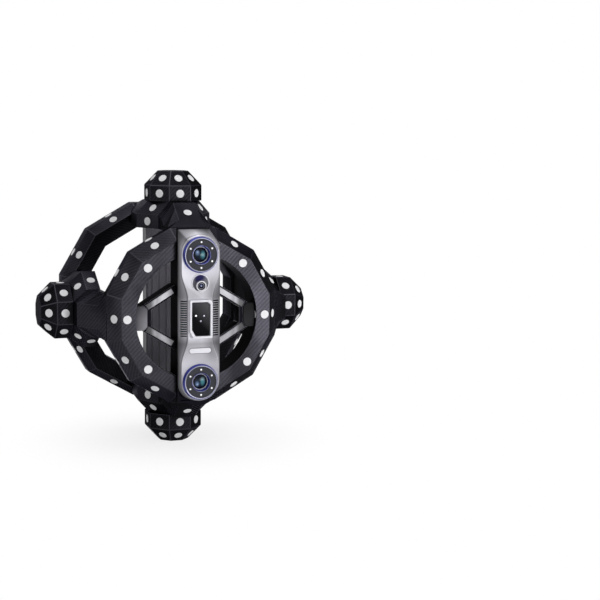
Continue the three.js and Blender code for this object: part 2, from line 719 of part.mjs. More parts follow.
function stadium(length, height, x, z) {
  const r = height / 2;
  const reach = length / 2 - r;
  const points = [];
  for (const side of [1, -1]) {
    for (let i = 0; i <= BAR_ROUND_STEPS; i += 1) {
      const angle = (Math.PI * i) / BAR_ROUND_STEPS - Math.PI / 2;
      points.push(point(x + side * (reach + r * Math.cos(angle)), z + side * r * Math.sin(angle)));
    }
  }
  return points;
}

// The window's outline with its two cut corners, grown or drawn in
function windowOutline(grow) {
  const side = WINDOW_HALF_WIDTH + grow;
  const top = WINDOW_TOP + grow;
  const bottom = WINDOW_BOTTOM - grow;
  return [
    point(-side + WINDOW_CUT_LOW_WIDTH, bottom), point(side, bottom),
    point(side, top - WINDOW_CUT_HIGH), point(side - WINDOW_CUT_HIGH, top),
    point(-side, top), point(-side, bottom + WINDOW_CUT_LOW_HEIGHT),
  ];
}

function barFascia() {
  const shell = loft([barOutline(0), barOutline(0), plateauOutline(0)],
    [FASCIA_BACK_Y, FASCIA_EDGE_Y, PLATEAU_Y]);
  const hollow = loft([barOutline(BAR_WALL), barOutline(BAR_WALL), plateauOutline(BAR_WALL)],
    [FASCIA_BACK_Y + OVERRUN, FASCIA_EDGE_Y + BAR_WALL / 2, PLATEAU_Y + BAR_WALL]);
  const front = PLATEAU_Y - OVERRUN;
  const tools = [hollow];
  for (const end of [-1, 1]) {
    tools.push(rodOnY(LAMP_RADIUS + SEAM, FASCIA_BACK_Y + OVERRUN, front, 0, end * LENS_REACH));
  }
  tools.push(rodOnY(CUP_RADIUS + SEAM, FASCIA_BACK_Y + OVERRUN, front, 0, CUP_Z));
  tools.push(plate(windowOutline(-WINDOW_LEDGE), FASCIA_BACK_Y + OVERRUN, front));
  tools.push(plate(stadium(INDICATOR_LENGTH + 2 * SEAM, INDICATOR_HEIGHT + 2 * SEAM, 0, INDICATOR_Z),
    PLATEAU_Y + INDICATOR_SINK, front));
  for (let i = 0; i < VENT_COUNT; i += 1) {
    const z = (i - (VENT_COUNT - 1) / 2) * VENT_PITCH;
    for (const side of [-1, 1]) {
      const [x0, x1] = [side * VENT_INNER, side * VENT_OUTER].sort((a, b) => a - b);
      tools.push(block(x0, x1, front, FASCIA_BACK_Y + OVERRUN, z - VENT_HEIGHT / 2, z + VENT_HEIGHT / 2));
    }
  }
  return cut(shell, ...tools);
}

function bezel(z) {
  return turnedOnY([
    [LAMP_RADIUS + SEAM, BEZEL_FRONT_Y], [BEZEL_FRONT_RADIUS, BEZEL_FRONT_Y],
    [BEZEL_RADIUS, ON_PLATEAU_Y], [LAMP_RADIUS + SEAM, ON_PLATEAU_Y], [LAMP_RADIUS + SEAM, BEZEL_FRONT_Y],
  ], ROUND_SIDES, 0, z);
}

function lightRing(z) {
  const inner = BARREL_RADIUS + SEAM;
  const back = LAMP_FRONT_Y + LAMP_DEPTH;
  const ring = turnedOnY([
    [inner, LAMP_FRONT_Y], [LAMP_RADIUS, LAMP_FRONT_Y], [LAMP_RADIUS, back], [inner, back],
    [inner, LAMP_FRONT_Y],
  ], ROUND_SIDES, 0, z);
  const leds = [];
  for (let i = 0; i < LED_COUNT; i += 1) {
    const angle = Math.PI / 2 + (i * 2 * Math.PI) / LED_COUNT;
    leds.push(rodOnY(LED_RADIUS, LAMP_FRONT_Y - LED_RISE, LAMP_FRONT_Y + LAMP_DEPTH / 2,
      LED_CIRCLE * Math.cos(angle), z + LED_CIRCLE * Math.sin(angle), KNOB_SIDES));
  }
  return join(ring, ...leds);
}

function lensBarrel(z) {
  const seat = BARREL_FRONT_Y + GLASS_DEPTH;
  return turnedOnY([
    [0, seat + GLASS_THICK + SEAM], [GLASS_RADIUS + SEAM, seat + GLASS_THICK + SEAM],
    [GLASS_RADIUS + SEAM, seat], [BARREL_RADIUS - BARREL_LIP, BARREL_FRONT_Y],
    [BARREL_RADIUS, BARREL_FRONT_Y], [BARREL_RADIUS, BARREL_BACK_Y], [0, BARREL_BACK_Y],
  ], ROUND_SIDES, 0, z);
}

function lensGlass(z) {
  const seat = BARREL_FRONT_Y + GLASS_DEPTH;
  const profile = [[0, seat - GLASS_DOME]];
  for (let i = 1; i <= DOME_STEPS; i += 1) {
    const share = i / DOME_STEPS;
    profile.push([GLASS_RADIUS * share, seat - GLASS_DOME * (1 - share ** 2)]);
  }
  profile.push([GLASS_RADIUS, seat + GLASS_THICK], [0, seat + GLASS_THICK]);
  return turnedOnY(profile, ROUND_SIDES, 0, z);
}

function sensorCup() {
  const floor = PLATEAU_Y + CUP_DEPTH;
  return turnedOnY([
    [0, floor], [CUP_FLOOR_RADIUS, floor], [CUP_RADIUS - CUP_SIDE, PLATEAU_Y],
    [CUP_RADIUS, PLATEAU_Y], [CUP_RADIUS, floor + CUP_FLOOR], [0, floor + CUP_FLOOR],
  ], ROUND_SIDES, 0, CUP_Z);
}

function sensorEye() {
  const back = PLATEAU_Y + CUP_DEPTH - SEAM;
  const front = PLATEAU_Y - EYE_PROUD;
  const seat = front + EYE_GLASS_DEPTH + EYE_GLASS_THICK + SEAM;
  return turnedOnY([
    [0, seat], [EYE_GLASS_RADIUS + SEAM, seat], [EYE_GLASS_RADIUS + SEAM, front], [EYE_RADIUS, front],
    [EYE_RADIUS, back], [0, back],
  ], SMALL_SIDES, 0, EYE_Z);
}

function sensorGlass() {
  const front = PLATEAU_Y - EYE_PROUD + EYE_GLASS_DEPTH;
  return rodOnY(EYE_GLASS_RADIUS, front, front + EYE_GLASS_THICK, 0, EYE_Z, SMALL_SIDES);
}

function windowFrame() {
  return plate(windowOutline(FRAME_BORDER), ON_PLATEAU_Y, FRAME_FRONT_Y, [windowOutline(0)]);
}

function windowPane() {
  return plate(windowOutline(-SEAM), PANE_BACK_Y, PANE_BACK_Y - PANE_THICK);
}

function indicatorStrip() {
  return plate(stadium(INDICATOR_LENGTH, INDICATOR_HEIGHT, 0, INDICATOR_Z),
    PLATEAU_Y + INDICATOR_SINK - SEAM, PLATEAU_Y - INDICATOR_PROUD);
}

function cameraBoard() {
  const half = BAR_HALF_WIDTH - BAR_WALL - BOARD_GAP;
  const reach = BAR_CORE_HALF - BAR_WALL - BOARD_GAP;
  return block(-half, half, BOARD_FRONT_Y, BOARD_BACK_Y, -reach, reach);
}

function projectorModule() {
  const centre = (WINDOW_TOP + WINDOW_BOTTOM) / 2;
  const front = PLATEAU_Y + BAR_WALL;
  const body = block(-PROJECTOR_HALF_WIDTH, PROJECTOR_HALF_WIDTH, front, BOARD_FRONT_Y - SEAM,
    centre - PROJECTOR_HALF_HEIGHT, centre + PROJECTOR_HALF_HEIGHT);
  const emitters = [[-1, 1], [1, 1], [0, 0]].map(([across, up]) => rodOnY(EMITTER_RADIUS,
    front - EMITTER_RISE, front + EMITTER_RISE, across * EMITTER_SPREAD,
    centre + up * EMITTER_DROP - EMITTER_DROP / 2, SMALL_SIDES));
  return join(body, ...emitters);
}

// Brace

// The two ends of a strut's middle line, and the way across it
function strutLine(up) {
  const from = point(BRACE_APEX_X, BRACE_APEX_Z * up);
  const to = point(BAR_HALF_WIDTH + SEAM, BRACE_END_Z * up);
  const along = to.clone().sub(from).normalize();
  return { from, to, along, across: point(-along.y, along.x) };
}

function strutOutline(up, width, fromTrim, toTrim) {
  const { from, to, along, across } = strutLine(up);
  const a = from.clone().addScaledVector(along, fromTrim);
  const b = to.clone().addScaledVector(along, -toTrim);
  const half = width / 2;
  return [
    a.clone().addScaledVector(across, half), b.clone().addScaledVector(across, half),
    b.clone().addScaledVector(across, -half), a.clone().addScaledVector(across, -half),
  ];
}

function stripOutline(up, grow) {
  return strutOutline(up, STRIP_WIDTH + 2 * grow, STRIP_END - grow, STRIP_END - grow);
}

function brace(side) {
  const back = BRACE_FRONT_Y + BRACE_DEPTH;
  const struts = [1, -1].map((up) => plate(strutOutline(up, BRACE_WIDTH, -BRACE_WIDTH, -BRACE_WIDTH),
    BRACE_FRONT_Y, back));
  const apex = block(CLAMP_INNER_X - BRACE_WIDTH / 2, FRONT_BORE_RADIUS, BRACE_FRONT_Y, back,
    -BRACE_APEX_Z, BRACE_APEX_Z);
  const inside = overlapOf(join(...struts, apex),
    rodOnY(FRONT_BORE_RADIUS - SEAM, BRACE_FRONT_Y, back, 0, 0, BORE_SIDES));
  const barSpace = block(-BAR_HALF_WIDTH - SEAM, BAR_HALF_WIDTH + SEAM,
    BRACE_FRONT_Y - OVERRUN, back + OVERRUN, -FRONT_BORE_RADIUS, FRONT_BORE_RADIUS);
  const grooves = [1, -1].map((up) => plate(stripOutline(up, SEAM), BRACE_FRONT_Y - OVERRUN,
    BRACE_FRONT_Y + STRIP_SINK + SEAM));
  const seat = plate(clampOutline(SEAM), BRACE_FRONT_Y - OVERRUN, BRACE_FRONT_Y + CLAMP_PROUD + SEAM);
  return cut(inside, barSpace, ...grooves, seat).scale(side, 1, 1);
}

function braceStrip(side, up) {
  const strip = plate(stripOutline(up, 0), BRACE_FRONT_Y - STRIP_PROUD, BRACE_FRONT_Y + STRIP_SINK);
  return cut(strip, plate(clampOutline(SEAM), BRACE_FRONT_Y - OVERRUN, BRACE_FRONT_Y + OVERRUN))
    .scale(side, 1, 1);
}

function clampOutline(grow) {
  const inner = CLAMP_INNER_X - grow;
  const top = CLAMP_HALF_HEIGHT + grow;
  const outer = FRONT_BORE_RADIUS + OVERRUN;
  return [
    point(outer, -top), point(outer, top), point(inner + CLAMP_CORNER, top),
    point(inner, top - CLAMP_CORNER), point(inner, CLAMP_CORNER - top),
    point(inner + CLAMP_CORNER, -top),
  ];
}

function braceClamp(side) {
  const front = BRACE_FRONT_Y - CLAMP_PROUD;
  const cover = plate(clampOutline(0), front, BRACE_FRONT_Y + CLAMP_PROUD);
  return overlapOf(cover, rodOnY(FRONT_BORE_RADIUS - SEAM, front - OVERRUN, BRACE_FRONT_Y + OVERRUN,
    0, 0, BORE_SIDES)).scale(side, 1, 1);
}

// Grip

function gripFrontShell() {
  const half = GRIP_HALF_WIDTH;
  const section = [
    point(GRIP_CHAMFER - half, GRIP_FRONT_Y), point(half - GRIP_CHAMFER, GRIP_FRONT_Y),
    point(half, GRIP_FRONT_Y + GRIP_CHAMFER), point(half, GRIP_SPLIT_Y),
    point(-half, GRIP_SPLIT_Y), point(-half, GRIP_FRONT_Y + GRIP_CHAMFER),
  ];
  const body = column(section, -GRIP_HALF_LENGTH, GRIP_HALF_LENGTH);
  const grooves = [];
  for (let i = 0; i < GROOVE_COUNT; i += 1) {
    const x = (i - (GROOVE_COUNT - 1) / 2) * GROOVE_PITCH;
    grooves.push(block(x - GROOVE_WIDTH / 2, x + GROOVE_WIDTH / 2, GRIP_FRONT_Y - OVERRUN,
      GRIP_FRONT_Y + GROOVE_DEPTH, -GRIP_HALF_LENGTH - OVERRUN, GRIP_HALF_LENGTH + OVERRUN));
  }
  const pocket = block(-HATCH_HALF_WIDTH, HATCH_HALF_WIDTH, GRIP_FRONT_Y + BATTERY_FRONT_WALL,
    GRIP_SPLIT_Y + OVERRUN, BATTERY_Z - HATCH_HALF_HEIGHT, BATTERY_Z + HATCH_HALF_HEIGHT);
  return cut(body, ...grooves, pocket);
}

function buttons() {
  return {
    scan_button: [SCAN_BUTTON_RADIUS, SCAN_BUTTON_Z],
    plus_button: [SIDE_BUTTON_RADIUS, SCAN_BUTTON_Z + SIDE_BUTTON_STEP],
    minus_button: [SIDE_BUTTON_RADIUS, SCAN_BUTTON_Z - SIDE_BUTTON_STEP],
    power_button: [SIDE_BUTTON_RADIUS, POWER_BUTTON_Z],
  };
}

function hingeRod(radius, z0, z1) {
  return rodOnZ(radius, z0, z1, HINGE_X, HINGE_Y);
}

function gripRearShell() {
  const half = GRIP_HALF_WIDTH;
  const sideY = GRIP_REAR_Y + GRIP_SIDE_DEPTH;
  const section = [
    point(-half, GRIP_REAR_Y), point(half, GRIP_REAR_Y), point(half, sideY),
    point((half + GRIP_BACK_HALF) / 2 + SEAM, (sideY + 2 * GRIP_BACK_Y) / 3),
    point(GRIP_BACK_HALF, GRIP_BACK_Y), point(-GRIP_BACK_HALF, GRIP_BACK_Y),
    point(-(half + GRIP_BACK_HALF) / 2 - SEAM, (sideY + 2 * GRIP_BACK_Y) / 3), point(-half, sideY),
  ];
  const body = column(section, -GRIP_HALF_LENGTH, GRIP_HALF_LENGTH);
  const back = GRIP_BACK_Y + OVERRUN;
  const hatch = block(-HATCH_HALF_WIDTH - DOOR_MARGIN, HATCH_HALF_WIDTH + DOOR_MARGIN,
    GRIP_REAR_Y - OVERRUN, back, BATTERY_Z - HATCH_HALF_HEIGHT, BATTERY_Z + HATCH_HALF_HEIGHT);
  const wells = Object.values(buttons()).map(([radius, z]) => rodOnY(radius + SLIDE_GAP,
    GRIP_BACK_Y - BUTTON_LENGTH - WELL_FLOOR, back, 0, z, SMALL_SIDES));
  const port = block(-PORT_HALF_WIDTH - PORT_WALL - SEAM, PORT_HALF_WIDTH + PORT_WALL + SEAM,
    GRIP_BACK_Y - PORT_DEPTH - SEAM, back, PORT_Z - PORT_HALF_HEIGHT - PORT_WALL - SEAM,
    PORT_Z + PORT_HALF_HEIGHT + PORT_WALL + SEAM);
  const knuckle = KNUCKLE_LENGTH / 2;
  const ears = [-1, 1].map((end) => {
    const near = BATTERY_Z + end * (knuckle + KNUCKLE_GAP);
    const far = near + end * EAR_LENGTH;
    const ear = hingeRod(HINGE_RADIUS, Math.min(near, far), Math.max(near, far));
    const root = block(HINGE_X - HINGE_RADIUS - HINGE_RISE, HINGE_X - DOOR_MARGIN, GRIP_BACK_Y - HINGE_RISE,
      HINGE_Y, Math.min(near, far), Math.max(near, far));
    return join(ear, root);
  });
  const pinHole = hingeRod(PIN_RADIUS + SEAM / 2, BATTERY_Z - knuckle - EAR_LENGTH - OVERRUN,
    BATTERY_Z + knuckle + EAR_LENGTH + OVERRUN);
  const relief = hingeRod(HINGE_RADIUS + SLIDE_GAP, BATTERY_Z - knuckle - KNUCKLE_GAP,
    BATTERY_Z + knuckle + KNUCKLE_GAP);
  return cut(join(cut(body, hatch, ...wells, port), ...ears), pinHole, relief);
}

function battery() {
  return block(-BATTERY_HALF_WIDTH, BATTERY_HALF_WIDTH, GRIP_FRONT_Y + BATTERY_FRONT_WALL + SEAM,
    GRIP_BACK_Y - DOOR_THICK - DOOR_GAP, BATTERY_Z - BATTERY_HALF_HEIGHT, BATTERY_Z + BATTERY_HALF_HEIGHT);
}

function batteryDoor() {
  const reach = HATCH_HALF_HEIGHT - DOOR_GAP;
  const panel = block(HINGE_X, HATCH_HALF_WIDTH, GRIP_BACK_Y - DOOR_THICK, GRIP_BACK_Y,
    BATTERY_Z - reach, BATTERY_Z + reach);
  const knuckle = KNUCKLE_LENGTH / 2;
  const roll = hingeRod(HINGE_RADIUS, BATTERY_Z - knuckle, BATTERY_Z + knuckle);
  const root = block(HINGE_X, HINGE_X + HINGE_RADIUS, GRIP_BACK_Y - DOOR_THICK, HINGE_Y,
    BATTERY_Z - knuckle, BATTERY_Z + knuckle);
  const lip = block(HATCH_HALF_WIDTH - LIP_WIDTH, HATCH_HALF_WIDTH, GRIP_BACK_Y - DOOR_THICK / 2,
    GRIP_BACK_Y + LIP_DEPTH, BATTERY_Z - LIP_LENGTH / 2, BATTERY_Z + LIP_LENGTH / 2);
  const earSpace = [-1, 1].map((end) => {
    const near = BATTERY_Z + end * knuckle;
    const far = near + end * (EAR_LENGTH + 2 * KNUCKLE_GAP);
    return hingeRod(HINGE_RADIUS + SLIDE_GAP, Math.min(near, far), Math.max(near, far));
  });
  const pinHole = hingeRod(PIN_RADIUS + SEAM / 2, BATTERY_Z - reach - OVERRUN, BATTERY_Z + reach + OVERRUN);
  return cut(join(panel, roll, root, lip), ...earSpace, pinHole);
}

function doorPin() {
  const reach = KNUCKLE_LENGTH / 2 + KNUCKLE_GAP + EAR_LENGTH;
  return hingeRod(PIN_RADIUS, BATTERY_Z - reach, BATTERY_Z + reach);
}

function button(radius, z) {
  const front = GRIP_BACK_Y - BUTTON_LENGTH;
  const back = GRIP_BACK_Y + BUTTON_PROUD;
  return turnedOnY([
    [0, front], [radius, front], [radius, back - BUTTON_TRAVEL / 2],
    [radius - BUTTON_TRAVEL / 2, back], [0, back],
  ], SMALL_SIDES, 0, z);
}

function portSocket() {
  const [x, z] = [PORT_HALF_WIDTH + PORT_WALL, PORT_HALF_HEIGHT + PORT_WALL];
  const shell = block(-x, x, GRIP_BACK_Y - PORT_DEPTH, GRIP_BACK_Y, PORT_Z - z, PORT_Z + z);
  const mouth = block(-PORT_HALF_WIDTH, PORT_HALF_WIDTH, GRIP_BACK_Y - PORT_DEPTH + PORT_WALL,
    GRIP_BACK_Y + OVERRUN, PORT_Z - PORT_HALF_HEIGHT, PORT_Z + PORT_HALF_HEIGHT);
  const floor = GRIP_BACK_Y - PORT_DEPTH + PORT_WALL;
  const contacts = [];
  for (let i = 0; i < CONTACT_COUNT; i += 1) {
    const contactX = (i - (CONTACT_COUNT - 1) / 2) * CONTACT_PITCH;
    contacts.push(rodOnY(CONTACT_RADIUS, floor - PORT_WALL / 2, floor + CONTACT_RISE, contactX, PORT_Z,
      KNOB_SIDES));
  }
  return join(cut(shell, mouth), ...contacts);
}

function portFlap() {
  const face = GRIP_BACK_Y + SEAM;
  const panel = block(-FLAP_HALF_WIDTH, FLAP_HALF_WIDTH, face, face + FLAP_THICK,
    PORT_Z - FLAP_BOTTOM, PORT_Z + FLAP_TOP);
  const roll = new THREE.CylinderGeometry(FLAP_ROLL_RADIUS, FLAP_ROLL_RADIUS, 2 * FLAP_HALF_WIDTH,
    SMALL_SIDES).rotateZ(Math.PI / 2).translate(0, face + FLAP_ROLL_RADIUS, PORT_Z - FLAP_BOTTOM);
  return join(panel, roll);
}

// Finishes

function finish(color, roughness, metalness) {
  return () => new THREE.MeshStandardMaterial({ color, roughness, metalness, flatShading: true });
}

const carbon = finish(0x38373d, 0.45, 0.1);
const silver = finish(0xb9b7c2, 0.35, 0.6);
const housing = finish(0x26252b, 0.55, 0.1);
const lampFace = finish(0x55565c, 0.6, 0.1);
const brightRing = finish(0xd9d8e6, 0.25, 0.7);
const lens = finish(0x10242c, 0.05, 0);
const pane = finish(0x17171a, 0.1, 0);
const paleTrim = finish(0xe6e6ee, 0.4, 0.1);
const gripSkin = finish(0x4b4a50, 0.7, 0);
const rubber = finish(0x222226, 0.9, 0);
const boardGreen = finish(0x1f4a36, 0.5, 0);
const steel = finish(0xa9abb0, 0.3, 0.9);

// Assembly

const scanner = new THREE.Group();
const cage = new THREE.Group();
cage.position.z = CAGE_REACH;
scanner.add(cage);

function place(parent, name, geometry, material) {
  const mesh = new THREE.Mesh(closedSurface(geometry), material());
  mesh.geometry.computeVertexNormals();
  mesh.name = name;
  parent.add(mesh);
}

place(cage, 'front_ring', frontRing(), carbon);
place(cage, 'rear_ring', rearRing(), carbon);

HUB_NAMES.forEach((name, i) => {
  const spoke = new THREE.Group();
  spoke.rotation.y = (i * 2 * Math.PI) / HUB_NAMES.length;
  cage.add(spoke);
  place(spoke, `${name}_hub`, hub(name === 'top' || name === 'bottom'), carbon);
  place(spoke, `${name}_knob`, knob(name !== 'bottom'), carbon);
});

place(cage, 'bar_rear_housing', barRearHousing(), housing);
place(cage, 'bar_fascia', barFascia(), silver);
for (const [name, end] of [['upper', 1], ['lower', -1]]) {
  const z = end * LENS_REACH;
  place(cage, `${name}_bezel`, bezel(z), brightRing);
  place(cage, `${name}_light_ring`, lightRing(z), lampFace);
  place(cage, `${name}_lens_barrel`, lensBarrel(z), brightRing);
  place(cage, `${name}_lens_glass`, lensGlass(z), lens);
}
place(cage, 'sensor_cup', sensorCup(), silver);
place(cage, 'sensor_barrel', sensorEye(), paleTrim);
place(cage, 'sensor_glass', sensorGlass(), lens);
place(cage, 'window_frame', windowFrame(), paleTrim);
place(cage, 'window_pane', windowPane(), pane);
place(cage, 'indicator_strip', indicatorStrip(), paleTrim);
place(cage, 'camera_board', cameraBoard(), boardGreen);
place(cage, 'projector_module', projectorModule(), housing);

for (const [name, side] of [['left', -1], ['right', 1]]) {
  place(cage, `${name}_brace`, brace(side), housing);
  place(cage, `${name}_brace_clamp`, braceClamp(side), gripSkin);
  place(cage, `${name}_upper_strip`, braceStrip(side, 1), paleTrim);
  place(cage, `${name}_lower_strip`, braceStrip(side, -1), paleTrim);
}

place(cage, 'grip_front_shell', gripFrontShell(), gripSkin);
place(cage, 'grip_rear_shell', gripRearShell(), gripSkin);
place(cage, 'battery', battery(), rubber);
place(cage, 'battery_door', batteryDoor(), gripSkin);
place(cage, 'door_pin', doorPin(), steel);
for (const [name, [radius, z]] of Object.entries(buttons())) {
  place(cage, name, button(radius, z), rubber);
}
place(cage, 'port_socket', portSocket(), steel);
place(cage, 'port_flap', portFlap(), rubber);

export default scanner;
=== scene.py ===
# Handheld three-d scanner: the looks of every piece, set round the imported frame.
# Metres, +Z up, the lenses look along -Y. The foot face under the bottom knob is at the origin.
import math
import bmesh
import bpy
from mathutils import Matrix, Vector


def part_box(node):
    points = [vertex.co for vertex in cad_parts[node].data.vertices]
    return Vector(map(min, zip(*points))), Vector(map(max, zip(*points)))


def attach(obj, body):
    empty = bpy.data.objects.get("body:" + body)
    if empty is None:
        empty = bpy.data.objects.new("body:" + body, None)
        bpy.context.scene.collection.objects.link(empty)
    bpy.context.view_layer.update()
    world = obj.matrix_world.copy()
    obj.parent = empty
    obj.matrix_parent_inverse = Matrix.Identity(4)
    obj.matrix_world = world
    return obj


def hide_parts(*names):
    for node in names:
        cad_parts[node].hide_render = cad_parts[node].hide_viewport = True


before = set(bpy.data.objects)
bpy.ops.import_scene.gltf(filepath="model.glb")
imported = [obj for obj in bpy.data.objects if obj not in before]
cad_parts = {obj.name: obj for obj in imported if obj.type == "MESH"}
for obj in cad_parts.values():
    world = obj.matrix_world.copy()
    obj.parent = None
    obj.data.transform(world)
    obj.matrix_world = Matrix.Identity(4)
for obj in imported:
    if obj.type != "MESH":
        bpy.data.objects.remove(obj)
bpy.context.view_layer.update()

# Studio. A pale floor and a white surround under soft lamps, seen by a long lens from the scanner's
# front left and a little above it. The floor fades towards plain white away from the foot.
MM = 0.001
CAGE_CENTRE = Vector((0, 0, 170 * MM))
CAMERA_PLACE = CAGE_CENTRE + Vector((-472.8, -1691.8, 233.0)) * MM
CAMERA_LENS = 83.92
CAMERA_TURN = 20.853
CAMERA_DIP = 7.293
CAMERA_ROLL = 0.671
WHITE = (1, 1, 1, 1)
AMBIENT = 0.27
FLOOR_HALF = 4.0
FLOOR_FADE = 0.22
FLOOR_GLOW = 0.8
LAMPS = {
    "key_lamp": (Vector((0.50, -1.05, 0.02)), 0.48, 9.0),
    "fill_lamp": (Vector((-0.05, -1.25, -0.02)), 0.5, 1.0),
    "high_lamp": (Vector((0.9, -1.3, 1.5)), 1.3, 9.0),
    "top_lamp": (Vector((-0.3, 0.2, 1.7)), 1.2, 8.0),
    "side_lamp": (Vector((-1.7, -0.5, 0.5)), 0.7, 2.0),
}

scene = bpy.context.scene
scene.view_settings.view_transform = "Standard"


def wire(tree, kind, inputs=None, **settings):
    """Adds a node; an input's value is a plain value or the socket that feeds it."""
    made = tree.nodes.new(kind)
    for name, value in settings.items():
        setattr(made, name, value)
    for name, value in (inputs or {}).items():
        if isinstance(value, bpy.types.NodeSocket):
            tree.links.new(value, made.inputs[name])
        else:
            made.inputs[name].default_value = value
    return made


def reckon(tree, operation, first, second=0.0):
    """What an operation makes of two numbers or sockets."""
    return wire(tree, "ShaderNodeMath", {0: first, 1: second}, operation=operation).outputs[0]


def seen_ray(tree):
    """1 for rays from the camera, and for what metal and glass show of the surround."""
    path = wire(tree, "ShaderNodeLightPath").outputs
    shown = reckon(tree, "MAXIMUM", path["Is Camera Ray"], path["Is Glossy Ray"])
    return reckon(tree, "MAXIMUM", shown, path["Is Transmission Ray"])


def own_place(tree):
    """A point's place in the coordinates of its own piece."""
    return wire(tree, "ShaderNodeTexCoord").outputs["Object"]


def finish_of(name, colour, roughness, metallic=0.0, **plain):
    """A material with its Principled shader; plain holds sockets that are the same all over."""
    material = bpy.data.materials.new(name)
    material.use_nodes = True
    shader = material.node_tree.nodes["Principled BSDF"]
    values = {"Base Color": (*colour, 1), "Roughness": roughness, "Metallic": metallic}
    values.update({key.replace("_", " "): value for key, value in plain.items()})
    for key, value in values.items():
        shader.inputs[key].default_value = value
    return material, material.node_tree, shader


camera = bpy.data.objects.new("camera", bpy.data.cameras.new("camera"))
scene.collection.objects.link(camera)
scene.camera = camera
camera.data.lens = CAMERA_LENS
camera.matrix_world = (
    Matrix.Translation(CAMERA_PLACE)
    @ Matrix.Rotation(-math.radians(CAMERA_TURN), 4, "Z")
    @ Matrix.Rotation(math.radians(90 - CAMERA_DIP), 4, "X")
    @ Matrix.Rotation(math.radians(CAMERA_ROLL), 4, "Z")
)

world = bpy.data.worlds.new("surround")
scene.world = world
world.use_nodes = True
sky = world.node_tree
sky.nodes.clear()
soft = wire(sky, "ShaderNodeBackground", {"Color": WHITE, "Strength": AMBIENT})
bright = wire(sky, "ShaderNodeBackground", {"Color": WHITE, "Strength": 1.0})
both = wire(sky, "ShaderNodeMixShader", {0: seen_ray(sky), 1: soft.outputs[0], 2: bright.outputs[0]})
wire(sky, "ShaderNodeOutputWorld", {"Surface": both.outputs[0]})

for name, (place, size, power) in LAMPS.items():
    lamp = bpy.data.objects.new(name, bpy.data.lights.new(name, "AREA"))
    lamp.data.size = size
    lamp.data.energy = power
    aim = (CAGE_CENTRE - place).to_track_quat("-Z", "Y").to_matrix().to_4x4()
    lamp.matrix_world = Matrix.Translation(place) @ aim
    scene.collection.objects.link(lamp)

floor_mesh = bmesh.new()
bmesh.ops.create_grid(floor_mesh, x_segments=1, y_segments=1, size=FLOOR_HALF)
floor = bpy.data.objects.new("floor", bpy.data.meshes.new("floor"))
floor_mesh.to_mesh(floor.data)
floor_mesh.free()
scene.collection.objects.link(floor)
floor_paint, tree, shader = finish_of("floor_paint", (0.93, 0.93, 0.93), 0.7, Specular_IOR_Level=0.0)
distance = wire(tree, "ShaderNodeVectorMath", {0: own_place(tree)}, operation="LENGTH").outputs["Value"]
fade = wire(tree, "ShaderNodeMapRange", {
    "Value": distance, "From Max": FLOOR_FADE, "To Min": FLOOR_GLOW,
}, interpolation_type="SMOOTHSTEP").outputs["Result"]
glow = wire(tree, "ShaderNodeEmission", {"Color": WHITE, "Strength": 1.0})
blend = wire(tree, "ShaderNodeMixShader", {
    0: reckon(tree, "MULTIPLY", fade, seen_ray(tree)), 1: shader.outputs[0], 2: glow.outputs[0],
})
tree.links.new(blend.outputs[0], tree.nodes["Material Output"].inputs["Surface"])
floor.data.materials.append(floor_paint)

# Carbon shells. The rings, hubs and knobs are laid up in twill carbon cloth and coated with resin,
# glossy on the front ring, satin on the rear ring and hubs and matt on the knobs. Their facets are
# flat, and each edge is a narrow rounded line of clear resin that shines. The front ring's tones are
# lighter and the knobs' darker, partly painted light and shade, and the resin's colour is a little
# lighter than the carbon's, partly a painted highlight along the edges.
PAD_SIDES = 10
PAD_RADIUS = 5 * MM
PAD_MATCH = 0.02
EDGE_WIDTH = 0.7 * MM
SHORTEST_EDGE = 1.0 * MM
SAME_POINT = 0.002 * MM
SAME_WAY = 0.9
HEAD_ON = 0.2
FLAT = math.radians(1.0)
SHARP = math.radians(12)
TWILL_REPEAT = 4.0
TWILL_OVER = 1.5
WARP_SHARE = 0.7
CLOUD_SHARE = 0.02
HAZE_SCALE = 800.0
HAZE = {"From Min": 0.36, "From Max": 0.64, "To Min": 0.72, "To Max": 1.5}
LAMINATE_METALLIC = 0.9
LAMINATE_SHEEN = {"Specular_IOR_Level": 0.1, "Specular_Tint": (0.3, 0.3, 0.34, 1)}
# The front ring's gloss coat is lighter and the knobs' matt coat darker than the satin, partly painted light
# and shade.
CARBON_FINISHES = {
    "carbon_gloss_painted_light": (1.35 * MM, (0.0128, 0.0124, 0.0152), (0.0234, 0.0226, 0.0276), 0.32, 0.275),
    "carbon_satin": (1.25 * MM, (0.0092, 0.0089, 0.0112), (0.0195, 0.0189, 0.0230), 0.42, 0.36),
    "carbon_matt_painted_shade": (1.25 * MM, (0.0042, 0.0041, 0.0051), (0.0098, 0.0095, 0.0117), 0.50, 0.44),
}
LAY_UPS = {"front_ring": "carbon_gloss_painted_light", "rear_ring": "carbon_satin"}
for side in ("top", "right", "bottom", "left"):
    LAY_UPS[f"{side}_hub"] = "carbon_satin"
    LAY_UPS[f"{side}_knob"] = "carbon_matt_painted_shade"


def effect(name, inputs, outputs):
    """A node group with its named inputs; returns it with the node that feeds it and its end."""
    group = bpy.data.node_groups.new(name, "ShaderNodeTree")
    for socket, kind in inputs.items():
        group.interface.new_socket(name=socket, in_out="INPUT", socket_type=kind)
    for socket, kind in outputs.items():
        group.interface.new_socket(name=socket, in_out="OUTPUT", socket_type=kind)
    return group, group.nodes.new("NodeGroupInput").outputs, group.nodes.new("NodeGroupOutput").inputs


def split(tree, vector):
    """The X, Y and Z of a vector."""
    return wire(tree, "ShaderNodeSeparateXYZ", {0: vector}).outputs


